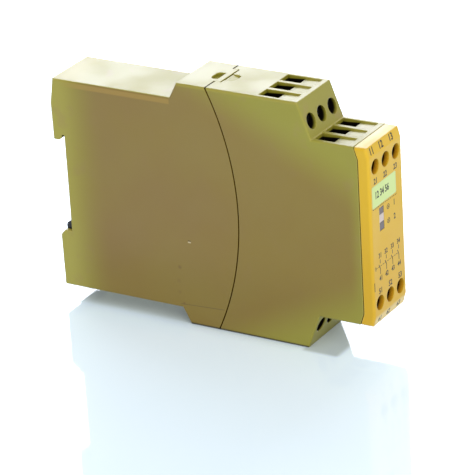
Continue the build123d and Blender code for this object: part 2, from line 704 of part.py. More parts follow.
# Signal lenses in the window, and the lamps behind them on the board's tongue
lens_top = WINDOW_TOP
lens_x = sum(WINDOW_X) / 2
for number, lens_height in enumerate(LENS_HEIGHTS, start=1):
    with BuildPart() as signal_lens:
        with BuildSketch(across(FRONT_Y + LENS_LENGTH)):
            with Locations((lens_x, lens_top - lens_height / 2)):
                Rectangle(WINDOW_WIDTH, lens_height - SLIDE_GAP)
        extrude(amount=LENS_LENGTH - SLIDE_GAP)
        with BuildSketch(across(FRONT_Y + LENS_LENGTH)):
            with Locations((lens_x, lens_top - lens_height / 2)):
                Rectangle(WINDOW_WIDTH + 2 * LENS_FLANGE, lens_height - SLIDE_GAP)
        extrude(amount=LENS_LENGTH - COVER_WALL - SLIDE_GAP)
    keep(signal_lens, f"signal_lens_{number}")

    with BuildPart() as signal_lamp:
        lamp_side = min(LENS_HEIGHTS) - 2 * SLIDE_GAP
        lamp_front_y = FRONT_Y + LENS_LENGTH + FIT_GAP
        with BuildSketch(Plane.YZ.offset(BOARD_FACE_X)):
            with Locations((lamp_front_y + LED_DEPTH / 4, lens_top - lens_height / 2)):
                Rectangle(
                    BOARD_TONGUE_Y + LED_DEPTH / 4 - lamp_front_y,
                    lamp_side,
                    align=(Align.MIN, Align.CENTER),
                )
        extrude(amount=lens_x - BOARD_FACE_X + lamp_side / 2)
        with BuildSketch(across(lamp_front_y + LED_DEPTH / 4)):
            with Locations((lens_x, lens_top - lens_height / 2)):
                Circle(lamp_side / 2 - SLIDE_GAP)
        extrude(amount=LED_DEPTH / 4)
    keep(signal_lamp, f"signal_lamp_{number}")
    lens_top -= lens_height


def make_screw(name, x, head_y, z):
    """Cross-slotted terminal screw, whose head is held by the seat rib."""
    with BuildPart() as screw:
        with BuildSketch(across(head_y + BAR_START - SCREW_PLAY)):
            with Locations((x, z)):
                Circle(SHANK_R)
        extrude(amount=BAR_START - SCREW_PLAY - HEAD_HEIGHT / 2)
        with BuildSketch(across(head_y + HEAD_HEIGHT)):
            with Locations((x, z)):
                Circle(HEAD_R)
        extrude(amount=HEAD_HEIGHT)
        with BuildSketch(across(head_y)):
            with Locations((x, z)):
                Rectangle(DRIVE_WIDTH, 2 * HEAD_R)
                Rectangle(CROSS_LENGTH, DRIVE_WIDTH)
        extrude(amount=-DRIVE_DEPTH, mode=Mode.SUBTRACT)
    keep(screw, name)


def make_cage(name, x, head_y, z):
    """Clamping cage: a ring round the contact bar, open above and below for the wire."""
    with BuildPart() as cage:
        with BuildSketch(Plane.XY.offset(z - CAGE_HEIGHT / 2)):
            with Locations((x, head_y + CAGE_START)):
                Rectangle(CAGE_WIDTH, CAGE_LENGTH, align=(Align.CENTER, Align.MIN))
            with Locations((x, head_y + CAGE_START + CAGE_FRONT)):
                Rectangle(
                    CAGE_WIDTH - 2 * CAGE_SIDE,
                    CAGE_LENGTH - CAGE_FRONT - CAGE_BACK,
                    align=(Align.CENTER, Align.MIN),
                    mode=Mode.SUBTRACT,
                )
        extrude(amount=CAGE_HEIGHT)
        with BuildSketch(across(head_y + CAGE_START + CAGE_FRONT)):
            with Locations((x, z)):
                Circle(SHANK_R + SHANK_GAP)
        extrude(amount=CAGE_FRONT, mode=Mode.SUBTRACT)
    keep(cage, name)


number = 0
for bank in BANKS:
    _, bank_y, _, _ = bank
    for pole_x in pole_xs():
        number += 1
        make_screw(f"terminal_screw_{number:02d}", pole_x, bank_y, axis_z(bank))
        make_cage(f"clamp_cage_{number:02d}", pole_x, bank_y, axis_z(bank))


# Contact bars: an upright blade inside each cage and a tail back to the terminal board
for bank in BANKS:
    bank_name, bank_y, _, way = bank
    with BuildPart() as contact_bars:
        foot_z = axis_z(bank) - way * (TAIL_DROP + TAIL_THICK)
        blade_height = TAIL_DROP + TAIL_THICK + CAGE_HEIGHT / 2 - BAR_TOP_MARGIN
        with BuildSketch(Plane.XY.offset(foot_z)):
            with Locations((0, bank_y + BAR_START + BAR_THICK / 2)):
                with GridLocations(POLE_PITCH, 0, POLES, 1):
                    Rectangle(BAR_WIDTH, BAR_THICK)
        extrude(amount=way * blade_height)
        tail_end_y = TERMINAL_BOARD_Y + BOARD_THICK + TAIL_PROUD
        tail_length = tail_end_y - bank_y - BAR_START - BAR_THICK / 2
        with BuildSketch(Plane.XY.offset(foot_z)):
            with Locations((0, tail_end_y - tail_length / 2)):
                with GridLocations(POLE_PITCH, 0, POLES, 1):
                    Rectangle(TAIL_WIDTH, tail_length)
        extrude(amount=way * TAIL_THICK)
    keep(contact_bars, f"contact_bars_{bank_name}")


# Terminal boards, square to the depth, with a slot for each bar's tail
for board_name, way in (("upper", 1), ("lower", -1)):
    board_rise = way * (TERMINAL_BOARD_LOW + TERMINAL_BOARD_HEIGHT / 2 - MID_Z)
    with BuildPart() as terminal_board:
        with BuildSketch(across(TERMINAL_BOARD_Y + BOARD_THICK)):
            with Locations((0, MID_Z + board_rise)):
                Rectangle(2 * (INNER_X - FIT_GAP), TERMINAL_BOARD_HEIGHT)
            for bank in BANKS:
                if bank[3] == way:
                    with Locations((0, axis_z(bank) - way * (TAIL_DROP + TAIL_THICK / 2))):
                        with GridLocations(POLE_PITCH, 0, POLES, 1):
                            Rectangle(
                                TAIL_WIDTH + 2 * PIN_GAP,
                                TAIL_THICK + 2 * PIN_GAP,
                                mode=Mode.SUBTRACT,
                            )
        extrude(amount=BOARD_THICK)
    keep(terminal_board, f"terminal_board_{board_name}")


# Main board, upright along the near side, with a tongue forward to the lamps
with BuildPart() as main_board:
    with BuildSketch(Plane.YZ.offset(MAIN_BOARD_X)):
        with Locations((MAIN_FRONT_Y, BOARD_BOTTOM_Z)):
            Rectangle(
                BOARD_REAR_Y - MAIN_FRONT_Y,
                BOARD_TOP_Z - BOARD_BOTTOM_Z,
                align=(Align.MIN, Align.MIN),
            )
        with Locations((BOARD_TONGUE_Y, MID_Z)):
            Rectangle(
                MAIN_FRONT_Y - BOARD_TONGUE_Y, BOARD_TONGUE_HEIGHT, align=(Align.MIN, Align.CENTER)
            )
        for z_way in (1, -1):
            with Locations((RELAY_CENTRE_Y, MID_Z + z_way * RELAY_SPREAD / 2)):
                with GridLocations(*RELAY_PIN_PITCH, RELAY_PIN_ROWS, RELAY_PIN_COLUMNS):
                    Rectangle(PIN_SIDE + 2 * PIN_GAP, PIN_SIDE + 2 * PIN_GAP, mode=Mode.SUBTRACT)
        with Locations((RESISTOR_Y, MID_Z)):
            with GridLocations(RESISTOR_PITCH, RESISTOR_SPAN, RESISTOR_COUNT, 2):
                Circle(LEAD_R + PIN_GAP, mode=Mode.SUBTRACT)
    extrude(amount=BOARD_THICK)
keep(main_board, "main_board")


# Two force-guided relays: a base with its pins, and a moulded case
for relay_name, z_way in (("upper", 1), ("lower", -1)):
    relay_centre = (RELAY_CENTRE_Y, MID_Z + z_way * RELAY_SPREAD / 2)
    with BuildPart() as relay_base:
        with BuildSketch(Plane.YZ.offset(BOARD_FACE_X)):
            with Locations(relay_centre):
                Rectangle(RELAY_LENGTH, RELAY_WIDTH)
        extrude(amount=RELAY_BASE_HEIGHT)
        with BuildSketch(Plane.YZ.offset(MAIN_BOARD_X - PIN_PROUD)):
            with Locations(relay_centre):
                with GridLocations(*RELAY_PIN_PITCH, RELAY_PIN_ROWS, RELAY_PIN_COLUMNS):
                    Rectangle(PIN_SIDE, PIN_SIDE)
        extrude(amount=PIN_PROUD + BOARD_THICK + RELAY_BASE_HEIGHT / 2)
    keep(relay_base, f"relay_base_{relay_name}")

    with BuildPart() as relay_case:
        with BuildSketch(Plane.YZ.offset(BOARD_FACE_X + RELAY_BASE_HEIGHT)):
            with Locations(relay_centre):
                RectangleRounded(
                    RELAY_LENGTH - 2 * RELAY_BASE_LEDGE,
                    RELAY_WIDTH - 2 * RELAY_BASE_LEDGE,
                    RELAY_ROUND,
                )
        extrude(amount=RELAY_HEIGHT - RELAY_BASE_HEIGHT)
        fillet(relay_case.faces().sort_by(Axis.X)[-1].edges(), radius=RELAY_ROUND / 2)
    keep(relay_case, f"relay_case_{relay_name}")


# Smoothing capacitor, lying on the board, with the crimp groove of its can
with BuildPart() as smoothing_capacitor:
    cap_x = BOARD_FACE_X + CAPACITOR_R
    cap_y, cap_z = on_board(CAPACITOR_FROM)
    with BuildSketch(Plane.XZ.offset(-cap_y)):
        with Locations((cap_x, cap_z)):
            Rectangle(CAPACITOR_R, CAPACITOR_LENGTH, align=(Align.MIN, Align.CENTER))
        with Locations((cap_x + CAPACITOR_R, cap_z + CAPACITOR_LENGTH / 2 - CAPACITOR_R / 2)):
            Circle(CAPACITOR_GROOVE, mode=Mode.SUBTRACT)
    revolve(axis=Axis((cap_x, cap_y, cap_z), (0, 0, 1)))
keep(smoothing_capacitor, "smoothing_capacitor")


def make_block(name, size, place, round_off):
    """A moulded block on the main board with its upper edges eased: size is along Y, Z and X."""
    with BuildPart() as block:
        with BuildSketch(Plane.YZ.offset(BOARD_FACE_X)):
            with Locations(place):
                Rectangle(size[0], size[1])
        extrude(amount=size[2])
        chamfer(block.faces().sort_by(Axis.X)[-1].edges(), length=round_off)
    keep(block, name)


make_block("bridge_rectifier", RECTIFIER_SIZE, on_board(RECTIFIER_FROM), EDGE_ROUND)
make_block("input_fuse", FUSE_SIZE, on_board(FUSE_FROM), EDGE_ROUND / 2)
for number in (1, 2):
    chip_y = BOARD_TONGUE_Y + CHIP_SETBACK + (number - 0.5) * CHIP_SIZE[0] + (number - 1) * CHIP_APART
    make_block(f"logic_chip_{number}", CHIP_SIZE, (chip_y, MID_Z), EDGE_ROUND)

# Surge varistor, a coated disc lying against the board
with BuildPart() as surge_varistor:
    with BuildSketch(Plane.YZ.offset(BOARD_FACE_X)):
        with Locations(on_board(VARISTOR_FROM)):
            Circle(VARISTOR_R)
    extrude(amount=VARISTOR_THICK)
    fillet(surge_varistor.faces().sort_by(Axis.X)[-1].edges(), radius=VARISTOR_THICK / 3)
keep(surge_varistor, "surge_varistor")


# Series resistors, upright on the board's tongue, with their leads bent down through it
with BuildPart() as series_resistors:
    lead_x = BOARD_FACE_X + RESISTOR_R
    lead_foot = MAIN_BOARD_X - PIN_PROUD
    low_z, high_z = MID_Z - RESISTOR_SPAN / 2, MID_Z + RESISTOR_SPAN / 2
    for row in range(RESISTOR_COUNT):
        row_y = RESISTOR_Y + (row - (RESISTOR_COUNT - 1) / 2) * RESISTOR_PITCH
        with BuildSketch(Plane.XY.offset(MID_Z - RESISTOR_LENGTH / 2)):
            with Locations((lead_x, row_y)):
                Circle(RESISTOR_R)
        extrude(amount=RESISTOR_LENGTH)
        with BuildLine() as lead_path:
            FilletPolyline(
                (lead_foot, row_y, low_z),
                (lead_x, row_y, low_z),
                (lead_x, row_y, high_z),
                (lead_foot, row_y, high_z),
                radius=3 * LEAD_R,
            )
        with BuildSketch(Plane(origin=(lead_foot, row_y, low_z), z_dir=(1, 0, 0))):
            Circle(LEAD_R)
        sweep(path=lead_path.wires()[0])
keep(series_resistors, "series_resistors")


# Headers that join the main board to the two terminal boards
for header_name, header_z in (("upper", HEADER_Z), ("lower", HEIGHT - HEADER_Z)):
    with BuildPart() as link_header:
        with BuildSketch(Plane.YZ.offset(BOARD_FACE_X)):
            with Locations((TERMINAL_BOARD_Y + BOARD_THICK, header_z)):
                Rectangle(HEADER_DEPTH, HEADER_LENGTH, align=(Align.MIN, Align.CENTER))
        extrude(amount=HEADER_WIDTH)
        chamfer(link_header.faces().sort_by(Axis.X)[-1].edges(), length=EDGE_ROUND / 2)
    keep(link_header, f"link_header_{header_name}")


# Rail latch: a slide in the foot whose nose grips the rail's lower flange
latch_half = INNER_X - LATCH_SIDE_GAP
with BuildPart() as rail_latch:
    latch_shoulder_z = FOOT_Z + LATCH_SHOULDER
    nose_z = LEDGE_Z + LATCH_NOSE
    with BuildSketch(Plane.YZ):
        with BuildLine():
            Polyline(
                (LATCH_Y, latch_shoulder_z),
                (LATCH_Y, nose_z),
                (LATCH_REAR_Y - LATCH_NOSE_ROUND, nose_z),
            )
            ThreePointArc(
                (LATCH_REAR_Y - LATCH_NOSE_ROUND, nose_z),
                (
                    LATCH_REAR_Y - LATCH_NOSE_ROUND * (1 - sin(pi / 4)),
                    nose_z - LATCH_NOSE_ROUND * (1 - cos(pi / 4)),
                ),
                (LATCH_REAR_Y, nose_z - LATCH_NOSE_ROUND),
            )
            Polyline(
                (LATCH_REAR_Y, nose_z - LATCH_NOSE_ROUND),
                (LATCH_REAR_Y, latch_shoulder_z),
                (LATCH_Y, latch_shoulder_z),
            )
        make_face()
    extrude(amount=latch_half, both=True)
    with BuildSketch(across(LATCH_REAR_Y)):
        with Locations((0, FOOT_Z - LATCH_PROUD)):
            Rectangle(
                LATCH_TAIL_WIDTH,
                LATCH_PROUD + 2 * LATCH_SHOULDER,
                align=(Align.CENTER, Align.MIN),
            )
    extrude(amount=LATCH_THICK)
    with BuildSketch(across(LATCH_REAR_Y)):
        with Locations((0, LUG_Z - LUG_GAP)):
            Rectangle(
                LUG_WIDTH + 2 * LUG_GAP,
                LUG_HEIGHT + SPRING_HEIGHT + LUG_GAP,
                align=(Align.CENTER, Align.MIN),
            )
        with Locations((0, FOOT_Z - LATCH_PROUD / 2)):
            Rectangle(LATCH_HOLE[0], LATCH_HOLE[1])
    extrude(amount=LATCH_THICK, mode=Mode.SUBTRACT)
keep(rail_latch, "rail_latch")


# Latch spring, standing on the lug inside the latch's window
with BuildPart() as latch_spring:
    coil_low = LUG_TOP_Z + SPRING_SEAT + SPRING_WIRE_R
    coil_height = SPRING_HEIGHT - 2 * (SPRING_SEAT + SPRING_WIRE_R)
    with BuildLine() as coil:
        Helix(
            pitch=coil_height / SPRING_TURNS,
            height=coil_height,
            radius=SPRING_R,
            center=(0, SPRING_Y, coil_low),
        )
    with BuildSketch(Plane(origin=coil.line @ 0, z_dir=coil.line % 0)):
        Circle(SPRING_WIRE_R)
    sweep(path=coil.wires()[0], is_frenet=True)
keep(latch_spring, "latch_spring")
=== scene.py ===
"""Looks of the rail-mounted safety relay: materials, print, camera, floor and light.

Places on the object are in millimetres in the CAD frame: X across, Y from the front to the rail, Z up.
"""

import json
import math

import bpy
from mathutils import Matrix, Vector


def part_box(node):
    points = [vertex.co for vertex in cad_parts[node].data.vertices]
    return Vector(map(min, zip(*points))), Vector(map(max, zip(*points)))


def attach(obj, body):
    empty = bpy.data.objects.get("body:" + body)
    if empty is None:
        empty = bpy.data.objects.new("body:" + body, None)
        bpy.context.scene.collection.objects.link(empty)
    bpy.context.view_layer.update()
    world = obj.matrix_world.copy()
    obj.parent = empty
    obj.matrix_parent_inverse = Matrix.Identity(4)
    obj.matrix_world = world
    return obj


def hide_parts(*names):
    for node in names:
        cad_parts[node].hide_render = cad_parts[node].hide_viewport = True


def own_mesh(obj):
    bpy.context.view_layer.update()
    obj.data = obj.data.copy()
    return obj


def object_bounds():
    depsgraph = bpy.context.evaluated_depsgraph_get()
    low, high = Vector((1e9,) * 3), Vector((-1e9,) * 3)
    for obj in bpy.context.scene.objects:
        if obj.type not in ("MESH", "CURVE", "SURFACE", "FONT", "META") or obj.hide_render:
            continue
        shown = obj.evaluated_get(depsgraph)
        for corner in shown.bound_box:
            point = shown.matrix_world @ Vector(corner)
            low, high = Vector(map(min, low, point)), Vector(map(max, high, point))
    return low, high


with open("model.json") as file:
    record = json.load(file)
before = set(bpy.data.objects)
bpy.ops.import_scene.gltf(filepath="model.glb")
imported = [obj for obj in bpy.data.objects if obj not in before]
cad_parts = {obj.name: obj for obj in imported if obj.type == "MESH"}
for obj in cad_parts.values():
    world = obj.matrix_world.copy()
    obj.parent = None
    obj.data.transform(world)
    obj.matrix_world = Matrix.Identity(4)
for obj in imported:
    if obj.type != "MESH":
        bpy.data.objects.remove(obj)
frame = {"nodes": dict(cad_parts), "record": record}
cad_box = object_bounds()


def srgb(red, green, blue):
    """A colour given as the 0 to 255 values that a screen shows, as Blender's linear values."""
    out = []
    for value in (red, green, blue):
        value /= 255
        out.append(value / 12.92 if value <= 0.04045 else ((value + 0.055) / 1.055) ** 2.4)
    return (*out, 1.0)


MM = 0.001
ACROSS = Vector((1, 0, 0))
UP = Vector((0, 0, 1))

# The photograph's camera, fitted to the object's edges: angles in degrees, lengths in millimetres
VIEW_AZIMUTH = -58.343
VIEW_ELEVATION = 23.959
VIEW_ROLL = -3.413
VIEW_DISTANCE = 1058.351
VIEW_SHIFT = (3.473, -13.186)
VIEW_FOCAL_PX = 3183.407
PHOTO_WIDTH_PX = 475
SENSOR_MM = 36.0
CLIP_METRES = (0.05, 30)

# Light: colour and strength of the even surroundings, and of the floor's own glow in the open and in shade
WHITE = (1.0, 1.0, 1.0, 1.0)
WORLD_COLOUR = (0.95, 0.98, 1.0, 1.0)
WORLD_LEVEL = 0.56
GLOW_COLOUR = (0.76, 0.86, 1.0, 1.0)
FLOOR_GLOW = 0.28
SHADED_GLOW = 0.45 * FLOOR_GLOW

# Lamps: degrees round from the camera, degrees up, metres away, size in metres, brightness and colour
LAMPS = {
    "sweep": (180, 26, 1.75, (2.4, 0.75), 5.8, (0.83, 0.87, 1.0)),
    "fill": (14, 30, 1.8, (1.2, 1.2), 4.0, (1.0, 0.99, 0.97)),
}

# Overall places on the object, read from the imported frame
FRONT_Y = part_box("front_cover")[0][1] / MM
REAR_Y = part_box("rear_shell")[1][1] / MM
SIDE_X = cad_box[1][0] / MM
MID_Z = cad_box[1][2] / 2 / MM
COVER_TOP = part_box("front_cover")[1][2] / MM
COVER_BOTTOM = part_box("front_cover")[0][2] / MM

# The cover's sloped strips above and below its flat face, and the middle of a strip from its outer edge
BEVEL_IN = 1.0
BEVEL_DROP = 3.5
STRIP_MIDDLE = 1.65
STRIP_HALF_WIDTH = 9.6
STRIP_Y = FRONT_Y + BEVEL_IN * (1 - STRIP_MIDDLE / BEVEL_DROP)

# The arc of the joint between the two halves of the housing, and the tongue that hides it on the top
SEAM_Y = -0.85
SEAM_BULGE = 10.0
SEAM_HALF_WIDTH = (0.18, 0.36)
TONGUE_X = (-4.6, 7.2)

# The riser between the two tiers of terminals: depth and height at its foot and top
RISER_FOOT = (-39.67, 74.83)
RISER_TOP = (-35.06, 87.0)

# Rows of wire entries: depth from, depth to and height of the face that they are sunk in
WELLS = ((-28.3, -19.9, RISER_TOP[1]), (-48.2, -39.8, RISER_FOOT[1]))

# How far from the middle and between which depths the holes reach
INSIDE_X = 10.2
RISER_HOLES_Y = (-40.0, -27.4)

# Distances from the middle height to the screw holes of the riser and of the cover, and to the cover's rims
RISER_HOLES_RISE = (32.5, 40.0)
COVER_HOLES_RISE = (20.0, 27.8)
COVER_RIM_RISE = (31.0, 31.3)

# A faint line low on the flanks, from its rear end to its front end
LOW_FLANK_LINE = ((13.8, 6.9), (-3.1, 7.7))
STEP_Y = LOW_FLANK_LINE[0][0]
DECK_Z = 2 * MID_Z - LOW_FLANK_LINE[0][1]

# Brown patch on the flanks: middle height, then depth and half height at its two ends, and its fade
BROWN_MIDDLE_Z = 40
BROWN_FRONT_END = (-60, 6)
BROWN_REAR_END = (20, 46)
BROWN_FADE = 20

# Where the brown starts and is full, counted from the rear edge and from the cover's face
BROWN_FROM_REAR = (1, 21)
BROWN_FROM_FRONT = (2, 9)

# Change of the brown along the depth, and painted shade darkening it towards the foot
BROWN_TURN_Y = (30, -40)
BROWN_TURN_Z = (32, 12)

# Bands of the housing, each from its start to where it is full
FLANK_INSET = (0.4, 0.05)
PALE_FROM_REAR = (16, 3)
DECK_FADE_Y = (58, 46)
RIDGE_Z = (85.6, 86.5)
FOOT_Z = (1.0, 0.35)
SEAM_TOP_INSET = (1, 0.3)
TONGUE_INSET = (2, 1)
LOW_LINE_HALF_WIDTH = (0.06, 0.22)

# Depth of the lit rim in the wire entries, and in the lower and upper screw holes of the riser
WELL_RIM = (0.5, 1.0)
WELL_RIM_FADE = 0.45
HOLE_RIM = (0.6, 1.5)
HOLE_RIM_Z = (20, 60)
HOLE_RIM_START = 0.1

# Bands of the cover: painted shade on the darker foot, then depths behind its face of the rims, the strip
# and the hole walls
YELLOW_TURN_Z = (62, 22)
RIM_DEPTH = (1.8, 5.2)
STRIP_DEPTH = (1.5, 1.1)
STRIP_FADE = 1.5
WALL_DEPTH = (0.15, 0.9)
HOLE_DEPTH = (1.2, 2.1)

# Pale rim of the sticker, across and in height
LABEL_RIM_WIDTH = (0.5, 0.4)

# Worn spot on the near flank: place, half length, half heights and the scratch above it
SCUFF_Y = 8.8
SCUFF_Z = 30.3
SCUFF_HALF_LENGTH = 0.35
SCUFF_HALF_HEIGHT = 0.12
SCRATCH_ABOVE = 0.55
SCRATCH_HALF_HEIGHT = 0.08

# Faint brown specks on the near flank: depth, height, radius and strength
SPECKS = ((13.2, 20.5, 0.8, 0.45), (13.9, 15.4, 0.9, 0.2), (13.8, 11.2, 0.8, 0.25), (12.4, 7.3, 0.6, 0.5))

# The latch's coil spring: radius of its wire, turns, and parts along and around the wire
SPRING_WIRE = 0.2
SPRING_TURNS = 6
PARTS_PER_TURN = 24
SIDES_OF_WIRE = 8

# Floor: half its side in metres, and the shade beside the riser's foot
FLOOR_REACH = 6.0
SHADE_HALF_WIDTH = 12
SHADE_BEFORE_FOOT = 6
SHADE_SOFT = 3

# Print on the cover: thickness proud of the face, depth under it, figures and widths of the lines
PRINT_PROUD = 0.012
PRINT_DEPTH = 0.02
FIGURE_HEIGHT = 2.05
STRIP_FIGURES = (2.5, 2.0)
CONTACT_FIGURES = 1.8
LABEL_FIGURES = 2.6
SQUEEZE = 0.9
LABEL_SQUEEZE = 0.8
BOLD = 0.03
LINE_WIDTH = 0.33
MARK_WIDTH = 0.3
RULE_WIDTH = 0.25
THIN_WIDTH = 0.2

# Plain numbers, each with its place across, for the upper strip, the rows of the face and the lower strip
TOP_NUMBERS = (("11", -8.2), ("12", -1.8), ("13", 5.0))
UPPER_NUMBERS = (("21", -7.4), ("22", -0.7), ("23", 6.2))
LOWER_NUMBERS = (("51", -6.7), ("52", 0.2), ("53", 6.9))
BOTTOM_NUMBERS = (("61", -7.0), ("62", -1.1), ("63", 6.0))
UPPER_Z = 62.6
LOWER_Z = 23.7

# The two lamp signs with their numbers and heights
LAMP_NUMBERS = (("1", 50.6), ("2", 45.7))
LAMP_SIGN_X = 0.6
LAMP_NUMBER_X = 4.7
LAMP_RADIUS = 0.85
RING_PARTS = 20
RING_OVERLAP = 1.05

# The contact diagram: columns, heights of its numbers and lines, and the dashed rules across the cover
CONTACTS_X = (-6.2, -2.0, 2.3, 6.6)
CONTACT_NUMBERS_Z = (36.0, 28.0)
CONTACT_UPPER = (34.6, 33.2)
CONTACT_LOWER = (31.3, 29.4)
CONTACT_BLADE = (-0.9, 33.0)
CONTACT_LINK = ((-9.2, 32.3), (6.0, 31.9))
LINK_END = ((-9.3, 31.6), (-9.3, 33.0))
LINK_DASH = (1.0, 0.55)
LABEL_RULE = ((-9.6, 53.15), (6.7, 52.75))
RULE_DASH = (0.7, 0.45)
EDGE_MARK = ((-10.4, 24.7), (-10.4, 27.8))

# The plain number on the sticker: text, place across and rise over the sticker's middle
LABEL_TEXT = "12 34 56"
LABEL_TEXT_X = -3.0
LABEL_TEXT_RISE = 0.3

# Shade in hollows: reach in millimetres and the openness at which it is full and gone
HOUSING_HOLLOW = (9, 0.10, 0.42)
COVER_HOLLOW = (7, 0.12, 0.42)
METAL_HOLLOW = (1.2, 0.35, 0.85)
FLOOR_HOLLOW = (16, 0.30, 0.70)
FOOT_HOLLOW = (4, 0.35, 0.75)

# Patterns: cells per metre
DRIFT_SCALE = 28
SMUDGE_SCALE = 60
CLOUD_SCALE = 22
STAIN_SCALE = 150
DRAWN_SCALE = 900
INK_SCALE = 1400
TRACK_SCALE = 160
WEAVE_SCALE = 700
PRISM_SCALE = 520
SMEAR_SCALE = 6

# Grain and softened edges of the mouldings, and depth of the fine relief
GRAIN = 0.35
FINE_GRAIN = 0.3
LABEL_GRAIN = 0.15
SHELL_EDGE = 0.5
SMALL_EDGE = 0.3
GRAIN_DEPTH = 0.012
LINE_DEPTH = 0.01

# Gloss: roughness, and the specular level of the housing from front to rear and of the cover
HOUSING_ROUGH = 0.34
COVER_ROUGH = 0.36
LABEL_ROUGH = 0.34
BOARD_ROUGH = 0.35
LENS_ROUGH = 0.16
LENS_CLEAR = 0.15
LENS_IOR = 1.5
FLOOR_IOR = 1.6
FLOOR_ROUGH = (0.03, 0.06)
HOUSING_SHINE = (0.52, 0.41)
HOUSING_SHINE_Y = (-30, 60)
COVER_SHINE = 0.42

# Colours of the housing
OLIVE = srgb(151, 143, 44)
OLIVE_DRIFT = srgb(156, 148, 51)
PALE_REAR = srgb(170, 158, 68)
STAIN = srgb(158, 136, 74)
BROWN_REAR = srgb(138, 110, 54)
BROWN_FRONT = srgb(138, 110, 40)
BROWN_SHADED_LOW = srgb(132, 106, 36)
# Painted light on the rounded upper edges of the flanks and on the outer edges
DECK_EDGE_LIGHT = srgb(176, 140, 62)
RIDGE_EDGE_LIGHT = srgb(164, 150, 54)
HOUSING_EDGE_HIGHLIGHT = srgb(186, 172, 80)
SCUFF = srgb(206, 190, 150)
SCRATCH = srgb(84, 68, 36)
SPECK = srgb(104, 72, 28)
LOW_LINE_COLOUR = srgb(100, 80, 34)
FOOT_SHADE = srgb(50, 44, 14)
HOUSING_PAINTED_SHADE = srgb(14, 10, 8)
SEAM_ON_FLANK = srgb(80, 54, 16)
SEAM_ON_TOP = srgb(36, 28, 12)

# Colours of the cover
YELLOW = srgb(228, 182, 36)
YELLOW_DRIFT = srgb(222, 176, 28)
YELLOW_SHADED_LOW = srgb(214, 166, 26)
COVER_EDGE_HIGHLIGHT = srgb(240, 206, 96)
RIM_HIGHLIGHT = srgb(236, 222, 160)
PALE_STRIP = srgb(240, 222, 170)
ORANGE_HOLE_SHADE = srgb(220, 146, 30)
COVER_PAINTED_SHADE = srgb(38, 14, 6)

# Colours of the sticker, the ink, the board and the floor, and of the lines and painted shade on metal
LABEL_GREEN = srgb(208, 224, 138)
LABEL_DRIFT = srgb(216, 230, 150)
LABEL_RIM = srgb(226, 226, 150)
INK = srgb(24, 20, 18)
WORN_INK = srgb(66, 54, 36)
BOARD_GREEN = srgb(24, 92, 46)
BOARD_TRACK = srgb(40, 120, 62)
FLOOR_CLEAN = srgb(224, 241, 250)
FLOOR_DRIFT = srgb(229, 244, 251)
FLOOR_SHADE = srgb(178, 187, 182)
METAL_LINE = srgb(120, 118, 112)
METAL_PAINTED_SHADE = srgb(46, 44, 42)

# Plain mouldings and coats: colour, second colour and roughness
MOULDINGS = {
    "latch_black": (srgb(14, 14, 20), srgb(20, 20, 28), 0.42),
    "black_moulding": (srgb(24, 24, 25), srgb(32, 32, 33), 0.45),
    "relay_casing": (srgb(222, 220, 212), srgb(214, 212, 204), 0.3),
    "capacitor_sleeve": (srgb(20, 24, 44), srgb(26, 30, 52), 0.25),
    "varistor_coat": (srgb(36, 70, 140), srgb(44, 80, 150), 0.25),
    "resistor_body": (srgb(120, 160, 170), srgb(140, 175, 182), 0.3),
}

# Clear mouldings: colour and the colour of the prisms in it
LENSES = {
    "lens_smoke": (srgb(98, 80, 78), srgb(128, 108, 104)),
    "lens_pale": (srgb(222, 196, 184), srgb(236, 214, 200)),
    "lamp_body": (srgb(214, 212, 204), srgb(232, 230, 222)),
}

# Metals: colour, roughness and stretch of the fine lines
METALS = {
    "spring_steel": (srgb(200, 200, 198), 0.28, (1, 60, 1)),
    "contact_brass": (srgb(206, 196, 170), 0.3, (1, 60, 1)),
    "screw_zinc": (srgb(196, 196, 192), 0.3, (60, 1, 60)),
    "cage_steel": (srgb(178, 178, 174), 0.34, (1, 60, 1)),
}


